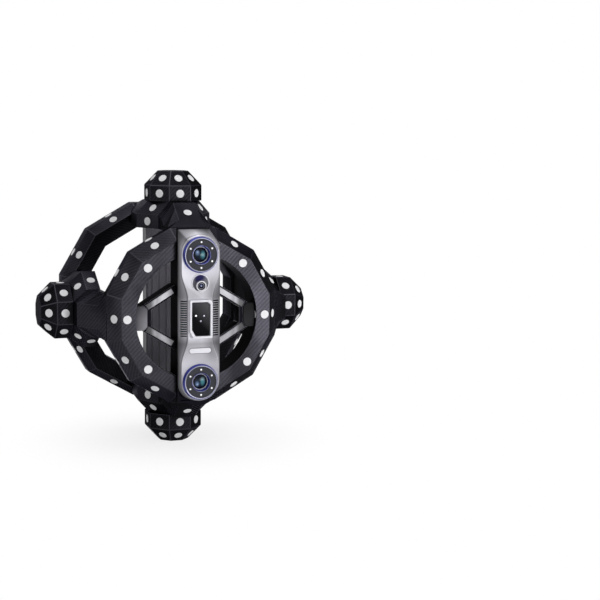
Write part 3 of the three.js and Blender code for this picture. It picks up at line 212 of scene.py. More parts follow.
weave, given, out = effect(
    "twill_cloth", {"Vector": "NodeSocketVector", "Tow": "NodeSocketFloat"},
    {"Warp": "NodeSocketFloat", "Crown": "NodeSocketFloat", "Shade": "NodeSocketFloat"},
)
across = split(weave, given["Vector"])
steps = [reckon(weave, "DIVIDE", across[i], given["Tow"]) for i in (0, 1)]
cells = [reckon(weave, "FLOOR", step) for step in steps]
diagonal = reckon(weave, "FLOORED_MODULO", reckon(weave, "SUBTRACT", cells[0], cells[1]), TWILL_REPEAT)
warp = reckon(weave, "LESS_THAN", diagonal, TWILL_OVER)
waves = [
    reckon(weave, "SINE", reckon(weave, "MULTIPLY", reckon(weave, "FRACT", step), math.pi)) for step in steps
]
crown = wire(weave, "ShaderNodeMix", {0: warp, 2: waves[1], 3: waves[0]}).outputs[0]
yarn = wire(weave, "ShaderNodeMix", {0: warp, 2: cells[1], 3: cells[0]}).outputs[0]
shade = wire(weave, "ShaderNodeTexWhiteNoise", {"W": yarn}, noise_dimensions="1D").outputs["Value"]
for socket, value in (("Warp", warp), ("Crown", crown), ("Shade", shade)):
    weave.links.new(value, out[socket])

grain, given, out = effect(
    "fine_grain", {"Vector": "NodeSocketVector", "Scale": "NodeSocketFloat"},
    {"Grain": "NodeSocketFloat", "Cloud": "NodeSocketFloat"},
)
cloud_scale = reckon(grain, "MULTIPLY", given["Scale"], CLOUD_SHARE)
for socket, scale, detail in (("Grain", given["Scale"], 3.0), ("Cloud", cloud_scale, 2.0)):
    noise = wire(grain, "ShaderNodeTexNoise", {"Vector": given["Vector"], "Scale": scale, "Detail": detail})
    grain.links.new(noise.outputs[0], out[socket])


def use(tree, group, **inputs):
    """Places a shared effect in a material's tree and returns what it puts out."""
    return wire(tree, "ShaderNodeGroup", inputs, node_tree=group).outputs


def fuzz_at(tree, scale):
    """The fine grain and its broad cloud, at a scale, on the piece's own coordinates."""
    return use(tree, grain, Vector=own_place(tree), Scale=scale)


def tint(tree, factor, low, high):
    """A colour between two, by a factor."""
    return wire(tree, "ShaderNodeMix", {0: factor, 6: (*low, 1), 7: (*high, 1)}, data_type="RGBA").outputs[2]


def spread(tree, value, low, high):
    """A share of 0 to 1 stretched between two numbers."""
    return wire(tree, "ShaderNodeMapRange", {"Value": value, "To Min": low, "To Max": high}).outputs[0]


def scaled(tree, colour, *factors):
    """A colour scaled by values or grey tones."""
    for factor in factors:
        made = wire(tree, "ShaderNodeVectorMath", {0: colour, "Scale": factor}, operation="SCALE")
        colour = made.outputs["Vector"]
    return colour


def roughen(tree, shader, height, depth, strength):
    """A bump that feeds the shader's normal."""
    bump = wire(tree, "ShaderNodeBump", {"Height": height, "Distance": depth, "Strength": strength})
    tree.links.new(bump.outputs[0], shader.inputs["Normal"])


carbons = {}
for name, (tow, weft_tone, warp_tone, weft_rough, warp_rough) in CARBON_FINISHES.items():
    carbons[name], tree, shader = finish_of(name, warp_tone, warp_rough, LAMINATE_METALLIC, **LAMINATE_SHEEN)
    cloth = use(tree, weave, Vector=wire(tree, "ShaderNodeUVMap", uv_map="weave").outputs[0], Tow=tow)
    tone = reckon(
        tree, "ADD", reckon(tree, "MULTIPLY", cloth["Warp"], WARP_SHARE),
        reckon(tree, "MULTIPLY", cloth["Shade"], 1 - WARP_SHARE))
    haze = wire(tree, "ShaderNodeMapRange", {
        "Value": fuzz_at(tree, HAZE_SCALE)["Cloud"], **HAZE,
    }, interpolation_type="SMOOTHSTEP").outputs["Result"]
    tree.links.new(scaled(tree, tint(tree, tone, weft_tone, warp_tone), haze), shader.inputs["Base Color"])
    tree.links.new(spread(tree, cloth["Warp"], weft_rough, warp_rough), shader.inputs["Roughness"])
    roughen(tree, shader, cloth["Crown"], 0.05 * MM, 0.25)

# The resin edge is a little lighter than the carbon, partly a painted highlight along each edge.
resin_and_painted_highlight, tree, shader = finish_of(
    "resin_edge_painted_highlight", (0.02, 0.02, 0.024), 0.26, LAMINATE_METALLIC, **LAMINATE_SHEEN)
cloud = fuzz_at(tree, 900.0)["Cloud"]
tree.links.new(tint(tree, cloud, (0.010, 0.010, 0.0125), (0.05, 0.048, 0.057)), shader.inputs["Base Color"])

black_mould, tree, shader = finish_of(
    "black_mould", (0.0055, 0.0052, 0.0075), 0.5, 0.85, Specular_IOR_Level=0.05,
    Specular_Tint=(0.2, 0.2, 0.24, 1))
fuzz = fuzz_at(tree, 1800.0)
tree.links.new(spread(tree, fuzz["Cloud"], 0.42, 0.6), shader.inputs["Roughness"])
roughen(tree, shader, fuzz["Grain"], 0.04 * MM, 0.4)

target, tree, shader = finish_of("target_film", (0.86, 0.86, 0.87), 0.55)
bead = wire(tree, "ShaderNodeTexVoronoi", {"Vector": own_place(tree), "Scale": 3200.0}).outputs["Distance"]
tree.links.new(tint(tree, bead, (0.9, 0.9, 0.91), (0.72, 0.72, 0.75)), shader.inputs["Base Color"])
roughen(tree, shader, bead, 0.03 * MM, 0.3)


def flat_copy(node):
    """A merged copy of a CAD node's mesh, with each flat side as one face."""
    mesh = bmesh.new()
    mesh.from_mesh(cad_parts[node].data)
    bmesh.ops.remove_doubles(mesh, verts=mesh.verts, dist=SAME_POINT)
    bmesh.ops.dissolve_limit(mesh, angle_limit=FLAT, verts=mesh.verts, edges=mesh.edges)
    return mesh


def lift_pads(mesh):
    """Takes the raised target pads off a shell, closes it flat, and returns their places and normals."""
    area = PAD_SIDES / 2 * PAD_RADIUS**2 * math.sin(2 * math.pi / PAD_SIDES)
    tops = [f for f in mesh.faces if len(f.verts) == PAD_SIDES and abs(f.calc_area() / area - 1) < PAD_MATCH]
    places = [(f.calc_center_median(), f.normal.copy()) for f in tops]
    doomed = {side for f in tops for edge in f.edges for side in edge.link_faces}
    bmesh.ops.delete(mesh, geom=list(doomed), context="FACES")
    bmesh.ops.holes_fill(mesh, edges=[e for e in mesh.edges if e.is_boundary], sides=0)
    bmesh.ops.dissolve_limit(mesh, angle_limit=FLAT, verts=mesh.verts, edges=mesh.edges)
    bmesh.ops.remove_doubles(mesh, verts=mesh.verts, dist=SHORTEST_EDGE)
    bmesh.ops.dissolve_limit(mesh, angle_limit=FLAT, verts=mesh.verts, edges=mesh.edges)
    return places


def lay_cloth(mesh):
    """Unwraps each facet flat, with the cloth square to the scanner's axis."""
    layer = mesh.loops.layers.uv.new("weave")
    for face in mesh.faces:
        along = face.normal.cross(Vector((0, 1, 0)))
        up = along.cross(face.normal)
        if along.length < HEAD_ON:
            along, up = Vector((1, 0, 0)), Vector((0, 0, 1))
        along.normalize()
        up.normalize()
        for loop in face.loops:
            loop[layer].uv = (loop.vert.co.dot(along), loop.vert.co.dot(up))


def line_bore(mesh):
    """Gives the faces that look at the ring's middle the third material."""
    for face in mesh.faces:
        out = face.calc_center_median() - CAGE_CENTRE
        if face.normal.dot(Vector((out.x, 0, out.z)).normalized()) < -SAME_WAY:
            face.material_index = 2


def add_piece(name, mesh, materials, body="housing", replaces=(), smooth=30):
    """Makes an object of a finished mesh, in place, and sets what it rides on and stands for."""
    piece = bpy.data.objects.new(name, bpy.data.meshes.new(name))
    mesh.to_mesh(piece.data)
    mesh.free()
    scene.collection.objects.link(piece)
    for material in materials:
        piece.data.materials.append(material)
    piece.data.shade_smooth()
    piece.data.set_sharp_from_angle(angle=math.radians(smooth))
    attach(piece, body)
    if replaces:
        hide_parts(*replaces)
    return piece


def round_edges(piece, width, segments=2, angle=SHARP, material=-1):
    """Rounds a piece's sharp edges."""
    bevel = piece.modifiers.new("rounded_edges", "BEVEL")
    bevel.width = width
    bevel.segments = segments
    bevel.limit_method = "ANGLE"
    bevel.angle_limit = angle
    bevel.harden_normals = True
    bevel.material = material


TARGET_THICK = 0.5 * MM
TARGET_SIDES = 32
TARGET_RIM = 0.15 * MM


def add_disc(mesh, place, normal):
    """A target film with its face at a place, turned to a normal; returns its points."""
    turn = normal.to_track_quat("Z", "Y").to_matrix().to_4x4()
    return bmesh.ops.create_cone(
        mesh, cap_ends=True, segments=TARGET_SIDES, radius1=PAD_RADIUS, radius2=PAD_RADIUS,
        depth=TARGET_THICK, matrix=Matrix.Translation(place - normal * TARGET_THICK / 2) @ turn,
    )["verts"]


def add_targets(node, places):
    """Round target films, each with a thin rounded rim, where a shell has its pads."""
    films = bmesh.new()
    for place, normal in places:
        disc = add_disc(films, place, normal)
        top = [f for f in films.faces if f.verts[0] in disc and f.normal.dot(normal) > SAME_WAY]
        rim = [e for f in top for e in f.edges]
        bmesh.ops.bevel(
            films, geom=rim, offset=TARGET_RIM, segments=1, profile=0.5, affect="EDGES", material=-1)
    add_piece(f"{node}_targets", films, [target])


for node, lay_up in LAY_UPS.items():
    shell = flat_copy(node)
    places = lift_pads(shell)
    lay_cloth(shell)
    walls = [carbons[lay_up], resin_and_painted_highlight]
    if node == "front_ring":
        line_bore(shell)
        walls.append(black_mould)
    laminate = add_piece(f"{node}_laminate", shell, walls, replaces=[node])
    round_edges(laminate, EDGE_WIDTH, material=1)
    add_targets(node, places)

# Bore target. One more film is stuck on the right wall of the front ring's bore. The clamp cover of
# the brace hides the back of the disc, so only its front shows and the rest is cut off.
BORE_RADIUS = 74.5 * MM
BORE_TARGET_DEPTH = -101.2 * MM
CLAMP_GAP = 0.3 * MM

film_place = Vector((BORE_RADIUS - TARGET_THICK, BORE_TARGET_DEPTH, CAGE_CENTRE.z))
clamp_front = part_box("right_brace_clamp")[0][1]
bore_film = bmesh.new()
add_disc(bore_film, film_place, Vector((-1, 0, 0)))
bmesh.ops.bisect_plane(
    bore_film, geom=[*bore_film.verts, *bore_film.edges, *bore_film.faces],
    plane_co=(0, clamp_front - CLAMP_GAP, 0), plane_no=(0, 1, 0), clear_outer=True)
bmesh.ops.holes_fill(bore_film, edges=[e for e in bore_film.edges if e.is_boundary], sides=0)
bmesh.ops.recalc_face_normals(bore_film, faces=bore_film.faces)
add_piece("bore_target", bore_film, [target])

# Camera bar. A black moulded tray stands in the bore, and a silver painted fascia closes its front.
# The fascia is one moulding: a raised middle, round at the two lenses and drawn in at the window.
FASCIA_BACK = -113.8 * MM
FASCIA_EDGE = -115.0 * MM
PLATEAU = -120.3 * MM
BAR_HALF = 25.8 * MM
BAR_TOP = 107 * MM
TOP_GAP = 1.5 * MM
BAR_FOOT_DROP = 23.4 * MM
FOOT_POWER_LEFT = 2.3
FOOT_POWER_RIGHT = 1.8
CHAMFER_WIDE = 13.5 * MM
CHAMFER_HIGH = 19 * MM
PLATEAU_HALF = 22.7 * MM
WAIST_HALF = 14.2 * MM
WAIST_START = 23 * MM
WAIST_END = 56 * MM
LENS_REACH = 75.8 * MM
SIDE_STEPS = 96
END_STEPS = 48
SLOT_STEPS = 12
ROD_SIDES = 64
NEAR_ZERO = 1e-9
SLOPE_SHARES = ((0.0, 0.0), (0.12, 0.2), (0.5, 0.5), (0.86, 0.76), (0.9, 0.8), (0.95, 0.97), (1.0, 1.0))
WINDOW_HALF = 11.3 * MM
WINDOW_TOP = 19.9 * MM
WINDOW_BOTTOM = -20.6 * MM
WINDOW_SEAT = 1.4 * MM
CUT_LOW_WIDE = 4.5 * MM
CUT_LOW_HIGH = 8 * MM
CUT_TOP = 3 * MM
CUP_Z = 42.2 * MM
CUP_RADIUS = 10.9 * MM
INDICATOR_Z = -38.5 * MM
INDICATOR_HALF = 13.4 * MM
INDICATOR_ROUND = 3.1 * MM
INDICATOR_GAP = 0.5 * MM
INDICATOR_DEEP = 1.1 * MM
LAMP_RADIUS = 18.6 * MM
LAMP_GAP = 0.3 * MM
VENT_COUNT = 16
VENT_PITCH = 2.75 * MM
VENT_HIGH = 1.55 * MM
VENT_INNER = 16.2 * MM
VENT_OUTER = 23.3 * MM
WALL = 2.2 * MM
PAST = 3 * MM
NEAR = 0.1 * MM
UPRIGHT = 0.3
TRAY_EDGE = 0.5 * MM

# Painted light and shade on the silver: each is a low value, a high value and stops of (share, tone) between
# them.
CREASE_REACH = 28 * MM
# Painted shade: the slopes darken from the raised middle out to the edge, with a dark line just below the
# middle's rim.
SLOPE_SHADE_TONES = (
    FASCIA_EDGE, PLATEAU,
    ((0.0, 0.07), (0.3, 0.13), (0.68, 0.24), (0.82, 0.12), (0.9, 0.3), (0.97, 0.47), (1.0, 0.50)),
)
# Painted light by height: lighter beside the window and from the cup up to the upper lens, darker just under
# the window and at the bottom end.
HEIGHT_LIGHT_TONES = (CAGE_CENTRE.z - BAR_TOP, CAGE_CENTRE.z + BAR_TOP, (
    (0.0, 0.62), (0.16, 0.88), (0.25, 1.04), (0.36, 0.66), (0.405, 1.5), (0.585, 1.5), (0.62, 0.93),
    (0.66, 0.98), (0.74, 1.30), (0.85, 1.30), (1.0, 1.05),
))
# Painted light by facing: faces that look up or to the right are lighter.
UPWARD_LIGHT_TONES = (0.05, 0.4, ((0.0, 1.0), (1.0, 1.85)))
RIGHTWARD_LIGHT_TONES = (0.12, 0.5, ((0.0, 1.0), (1.0, 2.1)))
# Painted light across the bar: the left is lighter than the right, most at the waist, where the right slope
# is dark; the shares blend the ends' row into the waist's.
WAIST_LIGHT_SHARES = (WAIST_START, WAIST_END, ((0.0, 1.0), (0.5, 0.9), (1.0, 0.0)))
END_SIDE_LIGHT_TONES = (-BAR_HALF, BAR_HALF, ((0.0, 1.13), (1.0, 0.75)))
WAIST_SIDE_LIGHT_TONES = (-BAR_HALF, BAR_HALF, ((0.0, 1.13), (0.56, 0.98), (0.76, 0.5), (1.0, 0.5)))
# Painted shade and highlight above the upper lens: a dark crease from the lens towards the top left corner,
# a bright band on its upper side and darker beyond.
CREASE_SHADE_SHARES = (0.0, 6 * MM, ((0.0, 0.0), (1.0, 1.0)))
CREASE_SHADE_TONES = (-CREASE_REACH, CREASE_REACH, (
    (0.0, 1.0), (0.3, 0.9), (0.485, 0.42), (0.515, 0.9), (0.74, 1.52), (0.84, 0.8), (0.93, 0.36),
))


def ramp(tree, value, low, high, stops, cast=(1, 1, 1)):
    """A tone that changes as a value goes from low to high, by stops of (share, tone)."""
    reached = wire(tree, "ShaderNodeMapRange", {"Value": value, "From Min": low, "From Max": high})
    made = wire(tree, "ShaderNodeValToRGB", {0: reached.outputs["Result"]})
    while len(made.color_ramp.elements) < len(stops):
        made.color_ramp.elements.new(0.5)
    for stop, (share, tone) in zip(made.color_ramp.elements, stops):
        stop.position = share
        stop.color = (*(tone * part for part in cast), 1)
    return made.outputs["Color"]


silver, tree, shader = finish_of("silver_paint_painted_light", (0.45, 0.44, 0.48), 0.36, 0.05, Specular_IOR_Level=0.14)
fuzz = fuzz_at(tree, 5200.0)
planes = split(tree, own_place(tree))
looks = split(tree, wire(tree, "ShaderNodeTexCoord").outputs["Normal"])
off_middle = reckon(tree, "ABSOLUTE", reckon(tree, "SUBTRACT", planes[2], CAGE_CENTRE.z))
side_light = wire(tree, "ShaderNodeMix", {
    0: ramp(tree, off_middle, *WAIST_LIGHT_SHARES),
    2: ramp(tree, planes[0], *END_SIDE_LIGHT_TONES),
    3: ramp(tree, planes[0], *WAIST_SIDE_LIGHT_TONES),
}).outputs[0]
corner = Vector((-BAR_HALF, BAR_TOP - TOP_GAP - LENS_REACH)).normalized()
above = reckon(tree, "SUBTRACT", planes[2], CAGE_CENTRE.z + LENS_REACH)
beside = reckon(
    tree, "ADD", reckon(tree, "MULTIPLY", planes[0], corner.y), reckon(tree, "MULTIPLY", above, -corner.x))
crease_shade = wire(tree, "ShaderNodeMix", {
    0: ramp(tree, above, *CREASE_SHADE_SHARES), 2: 1.0, 3: ramp(tree, beside, *CREASE_SHADE_TONES),
}).outputs[0]
# The silver's colour: its fine grain times painted shade on the slopes and in the crease, and painted light
# by height, by facing and across the bar.
silver_with_painted_light = scaled(
    tree, ramp(tree, planes[1], *SLOPE_SHADE_TONES, (1, 0.985, 1.07)), ramp(tree, planes[2], *HEIGHT_LIGHT_TONES),
    ramp(tree, looks[2], *UPWARD_LIGHT_TONES), ramp(tree, looks[0], *RIGHTWARD_LIGHT_TONES), side_light, crease_shade,
    spread(tree, fuzz["Grain"], 0.88, 1.12))
tree.links.new(silver_with_painted_light, shader.inputs["Base Color"])
tree.links.new(spread(tree, fuzz["Cloud"], 0.30, 0.38), shader.inputs["Roughness"])
roughen(tree, shader, fuzz["Grain"], 0.01 * MM, 0.3)

tray = add_piece(
    "bar_tray", flat_copy("bar_rear_housing"), [black_mould, resin_and_painted_highlight],
    replaces=["bar_rear_housing"])
round_edges(tray, TRAY_EDGE, angle=math.radians(30), material=1)


def plateau_half(z):
    """Half the width of the raised middle at a height from the cage's centre."""
    share = min(max((abs(z) - WAIST_START) / (WAIST_END - WAIST_START), 0.0), 1.0)
    return WAIST_HALF + (PLATEAU_HALF - WAIST_HALF) * share * share * (3 - 2 * share)


def end_reach(angle, up):
    """How far the bar's edge lies from a lens centre in a direction; the ends differ."""
    wide, high = math.cos(angle), abs(math.sin(angle))
    if not up:
        power = FOOT_POWER_LEFT if wide < 0 else FOOT_POWER_RIGHT
        return ((abs(wide) / BAR_HALF)**power + (high / BAR_FOOT_DROP)**power)**(-1 / power)
    rise = BAR_TOP - TOP_GAP - LENS_REACH
    reach = min(BAR_HALF / max(abs(wide), NEAR_ZERO), rise / max(high, NEAR_ZERO))
    if wide > 0:
        slant = math.atan2(CHAMFER_WIDE, CHAMFER_HIGH)
        cut = (BAR_HALF - CHAMFER_WIDE) * math.cos(slant) + rise * math.sin(slant)
        reach = min(reach, cut / max(math.cos(angle - slant), NEAR_ZERO))
    return reach


def bar_loop(share, inset=0.0):
    """The fascia's outline in X and Z at a share of the way from its edge to the raised middle."""
    points = []
    for up, turn in ((True, 0.0), (False, math.pi)):
        for i in range(END_STEPS + 1):
            angle = turn + math.pi * i / END_STEPS
            outer = end_reach(angle if up else -angle, up)
            reach = outer + (PLATEAU_HALF - outer) * share - inset
            centre = LENS_REACH if up else -LENS_REACH
            points.append((reach * math.cos(angle), centre + reach * math.sin(angle)))
        for i in range(1, SIDE_STEPS):
            z = LENS_REACH * (1 - 2 * i / SIDE_STEPS) * (1 if up else -1)
            half = BAR_HALF + (plateau_half(z) - BAR_HALF) * share - inset
            points.append(((-half if up else half), z))
    return points


def window_loop(grow):
    """The window's outline, with its two cut corners, grown all round."""
    side, top, bottom = WINDOW_HALF + grow, WINDOW_TOP + grow, WINDOW_BOTTOM - grow
    return [
        (-side + CUT_LOW_WIDE, bottom), (side, bottom), (side, top - CUT_TOP), (side - CUT_TOP, top),
        (-side, top), (-side, bottom + CUT_LOW_HIGH),
    ]


def slot_loop(grow):
    """The indicator's outline, with round ends, lying across the bar, grown all round."""
    half, radius = INDICATOR_HALF + grow, INDICATOR_ROUND + grow
    points = []
    for side in (1, -1):
        for i in range(SLOT_STEPS + 1):
            angle = math.pi * i / SLOT_STEPS - math.pi / 2
            x = side * (half - radius + radius * math.cos(angle))
            points.append((x, INDICATOR_Z + side * radius * math.sin(angle)))
    return points


def ring_of(mesh, points, depth):
    """A closed loop of edges through points in X and Z, at one depth."""
    verts = [mesh.verts.new((x, depth, CAGE_CENTRE.z + z)) for x, z in points]
    return [mesh.edges.new((a, b)) for a, b in zip(verts, verts[1:] + verts[:1])]


def bridged(loops, depths):
    """A closed body skinned over loops of equal count."""
    mesh = bmesh.new()
    rings = [ring_of(mesh, points, depth) for points, depth in zip(loops, depths)]
    for one, other in zip(rings, rings[1:]):
        bmesh.ops.bridge_loops(mesh, edges=one + other)
    for ring in (rings[0], rings[-1]):
        bmesh.ops.contextual_create(mesh, geom=ring)
    bmesh.ops.recalc_face_normals(mesh, faces=mesh.faces)
    return mesh


def join(mesh, other):
    """Adds another body to a mesh."""
    scratch = bpy.data.meshes.new("scratch")
    other.to_mesh(scratch)
    mesh.from_mesh(scratch)
    other.free()
    bpy.data.meshes.remove(scratch)


def add_rod(mesh, radius, y0, y1, z):
    """A round bar along Y between two depths."""
    place = Vector((0, (y0 + y1) / 2, CAGE_CENTRE.z + z))
    bmesh.ops.create_cone(
        mesh, cap_ends=True, segments=ROD_SIDES, radius1=radius, radius2=radius, depth=abs(y1 - y0),
        matrix=Matrix.Translation(place) @ Matrix.Rotation(math.pi / 2, 4, "X"),
    )


def add_block(mesh, low, high):
    """A box between two corners, with Z from the cage's centre."""
    low, high = Vector(low), Vector(high)
    size = Matrix.Diagonal((*(high - low), 1))
    bmesh.ops.create_cube(mesh, size=1, matrix=Matrix.Translation((low + high) / 2 + CAGE_CENTRE) @ size)


def cut_away(mesh, tools):
    """The mesh without what the tools fill, as a new mesh."""
    body, tool = [bpy.data.objects.new(n, bpy.data.meshes.new(n)) for n in ("cut_body", "cut_tool")]
    mesh.to_mesh(body.data)
    tools.to_mesh(tool.data)
    for item in (body, tool):
        scene.collection.objects.link(item)
    boolean = body.modifiers.new("cut", "BOOLEAN")
    boolean.operation = "DIFFERENCE"
    boolean.solver = "EXACT"
    boolean.use_self = True
    boolean.object = tool
    result = bmesh.new()
    result.from_object(body, bpy.context.evaluated_depsgraph_get())
    for item in (body, tool):
        bpy.data.objects.remove(item)
    mesh.free()
    tools.free()
    return result


fascia = bridged(
    [bar_loop(0.0), *[bar_loop(share) for share, rise in SLOPE_SHARES]],
    [FASCIA_BACK, *[FASCIA_EDGE + (PLATEAU - FASCIA_EDGE) * rise for share, rise in SLOPE_SHARES]],
)
tools = bridged([bar_loop(0.0, WALL), bar_loop(1.0, WALL)], [FASCIA_BACK + PAST, PLATEAU + WALL])
for z in (LENS_REACH, -LENS_REACH):
    add_rod(tools, LAMP_RADIUS + LAMP_GAP, FASCIA_BACK + PAST, PLATEAU - PAST, z)
add_rod(tools, CUP_RADIUS, FASCIA_BACK + PAST, PLATEAU - PAST, CUP_Z)
for points, back in (
    (window_loop(-WINDOW_SEAT), FASCIA_BACK + PAST), (slot_loop(INDICATOR_GAP), PLATEAU + INDICATOR_DEEP),
):
    join(tools, bridged([points, points], [back, PLATEAU - PAST]))
for i in range(VENT_COUNT):
    z = (i - (VENT_COUNT - 1) / 2) * VENT_PITCH
    foot, head = z - VENT_HIGH / 2, z + VENT_HIGH / 2
    for near, far in ((-VENT_OUTER, -VENT_INNER), (VENT_INNER, VENT_OUTER)):
        add_block(tools, (near, PLATEAU - PAST, foot), (far, FASCIA_BACK + PAST, head))
fascia = cut_away(fascia, tools)
# Painted shade: the side walls of the vents and of the indicator's slot take the black mould, dark as the
# shade in these recesses.
for face in fascia.faces:
    middle = face.calc_center_median() - CAGE_CENTRE
    in_vent = all((
        VENT_INNER - NEAR < abs(middle.x) < VENT_OUTER + NEAR,
        abs(middle.z) < VENT_COUNT * VENT_PITCH / 2,
    ))
    in_slot = all((
        abs(middle.x) < INDICATOR_HALF + INDICATOR_GAP + NEAR,
        abs(middle.z - INDICATOR_Z) < INDICATOR_ROUND + INDICATOR_GAP + NEAR,
    ))
    if (in_vent or in_slot) and abs(face.normal.y) < UPRIGHT:
        face.material_index = 1
add_piece("silver_fascia", fascia, [silver, black_mould], replaces=["bar_fascia"], smooth=24)

# Lit lenses. Each has a polished bezel with a blue anodised wall, a grey lamp ring with six white
# emitters, and a barrel with a blue cone that holds a coated lens in a pale collar, some way back.
LAMP_FRONT = -124.4 * MM
LED_COUNT = 6
LED_CIRCLE = 15.2 * MM
LED_RADIUS = 1.1 * MM
BEAD_SEGMENTS = 20
BEAD_RINGS = 10
BEAD_FLATNESS = 0.4
TURN_STEPS = 96
DISH_STEPS = 12
COAT_RIM = (0.002, 0.002, 0.008, 1)
# Painted reflections in the lens colour, each a place in mm, a squeeze across, a reach and a colour: a dark
# middle, a teal patch right of it that stands for the coatings' colour and a painted reflection, a blue-grey
# painted highlight upper left with a paler painted glint in it, and a painted glint on the small camera's
# lens.
LENS_PAINTED_REFLECTIONS = (
    ((0.0, 0.0), 1.0, 8.0, (0.004, 0.015, 0.03)),
    ((3.0, -0.2), 1.7, 6.8, (0.055, 0.21, 0.25)),
    ((-3.6, 2.4), 1.2, 4.4, (0.11, 0.18, 0.31)),
    ((-3.4, 3.2), 1.0, 1.8, (0.34, 0.42, 0.60)),
    ((0.3, -36.4), 1.0, 1.9, (0.25, 0.28, 0.50)),
)
REFLECTION_CORE = 0.2


def turned(profile, z):
    """A body turned round a line along Y from a closed or axis-to-axis profile of (radius, y) in mm."""
    mesh = bmesh.new()
    verts = [mesh.verts.new((r * MM, y * MM, CAGE_CENTRE.z + z)) for r, y in profile]
    edges = [mesh.edges.new(pair) for pair in zip(verts, verts[1:])]
    if profile[0][0] > 0:
        edges.append(mesh.edges.new((verts[-1], verts[0])))
    bmesh.ops.spin(
        mesh, geom=verts + edges, cent=(0, 0, CAGE_CENTRE.z + z), axis=(0, 1, 0), angle=2 * math.pi,
        steps=TURN_STEPS, use_merge=True,
    )
    bmesh.ops.remove_doubles(mesh, verts=mesh.verts, dist=SAME_POINT / 2)
    bmesh.ops.recalc_face_normals(mesh, faces=mesh.faces)
    return mesh


def dished(radius, middle, sag, back):
    """The profile of a solid disc, in mm, whose front sags from its middle to its rim."""
    shares = [i / DISH_STEPS for i in range(DISH_STEPS + 1)]
    return [(radius * share, middle + sag * share**2) for share in shares] + [(radius, back), (0, back)]


def add_bead(mesh, place, radius):
    """An emitter's flattened bead; returns its faces."""
    verts = bmesh.ops.create_uvsphere(
        mesh, u_segments=BEAD_SEGMENTS, v_segments=BEAD_RINGS, radius=radius,
        matrix=Matrix.Translation(place) @ Matrix.Diagonal((1, BEAD_FLATNESS, 1, 1)),
    )["verts"]
    return {face for vert in verts for face in vert.link_faces}


polished, tree, shader = finish_of("polished_rim", (0.34, 0.34, 0.41), 0.34, 1.0)
tree.links.new(spread(tree, fuzz_at(tree, 2400.0)["Cloud"], 0.3, 0.4), shader.inputs["Roughness"])

blue_wall, tree, shader = finish_of(
    "blue_anodised", (0.045, 0.045, 0.28), 0.26, 0.55, Specular_IOR_Level=0.3)
cloud = fuzz_at(tree, 1500.0)["Cloud"]
tree.links.new(tint(tree, cloud, (0.034, 0.042, 0.23), (0.070, 0.086, 0.40)), shader.inputs["Base Color"])

lamp_grey, tree, shader = finish_of("lamp_face", (0.045, 0.046, 0.054), 0.6, Specular_IOR_Level=0.06)
speck = fuzz_at(tree, 2600.0)["Grain"]
tree.links.new(tint(tree, speck, (0.036, 0.037, 0.044), (0.056, 0.058, 0.067)), shader.inputs["Base Color"])
roughen(tree, shader, speck, 0.03 * MM, 0.4)

emitter, tree, shader = finish_of(
    "white_emitter", (0.95, 0.95, 0.97), 0.25, Emission_Strength=0.35, Emission_Color=WHITE)
speck = fuzz_at(tree, 3000.0)["Grain"]
tree.links.new(tint(tree, speck, (0.9, 0.9, 0.93), (1, 1, 1)), shader.inputs["Base Color"])

pale, tree, shader = finish_of("pale_plastic", (0.8, 0.79, 0.84), 0.4, Specular_IOR_Level=0.2)
fuzz = fuzz_at(tree, 2200.0)
cream = tint(tree, fuzz["Cloud"], (0.74, 0.735, 0.79), (0.84, 0.835, 0.89))
tree.links.new(cream, shader.inputs["Base Color"])
roughen(tree, shader, fuzz["Grain"], 0.01 * MM, 0.3)

# The coated lens: dark glass whose colour carries painted reflections, highlights and glints, placed round
# each lens's middle.
coated, tree, shader = finish_of("coated_lens_painted_reflections", (0.01, 0.02, 0.04), 0.1, Specular_IOR_Level=0.12)
planes = split(tree, own_place(tree))
up = reckon(tree, "ABSOLUTE", reckon(tree, "SUBTRACT", planes[2], CAGE_CENTRE.z))
up = reckon(tree, "SUBTRACT", up, LENS_REACH)
spot = wire(tree, "ShaderNodeCombineXYZ", {0: planes[0], 1: 0.0, 2: up}).outputs[0]
coat_and_reflections = COAT_RIM
for (x, z), squeeze, reach, colour in LENS_PAINTED_REFLECTIONS:
    off = wire(tree, "ShaderNodeVectorMath", {0: spot, 1: (x * MM, 0, z * MM)}, operation="SUBTRACT")
    off = wire(tree, "ShaderNodeVectorMath", {0: off.outputs[0], 1: (squeeze, 1, 1)}, operation="MULTIPLY")
    off = wire(tree, "ShaderNodeVectorMath", {0: off.outputs[0]}, operation="LENGTH")
    # How strongly this painted reflection shows here: full in its core, nothing past its reach.
    glow = wire(tree, "ShaderNodeMapRange", {
        "Value": off.outputs["Value"],
        "From Min": reach * MM, "From Max": REFLECTION_CORE * reach * MM,
    }, interpolation_type="SMOOTHSTEP").outputs["Result"]
    coat_and_reflections = wire(tree, "ShaderNodeMix", {0: glow, 6: coat_and_reflections, 7: (*colour, 1)}, data_type="RGBA").outputs[2]
tree.links.new(coat_and_reflections, shader.inputs["Base Color"])

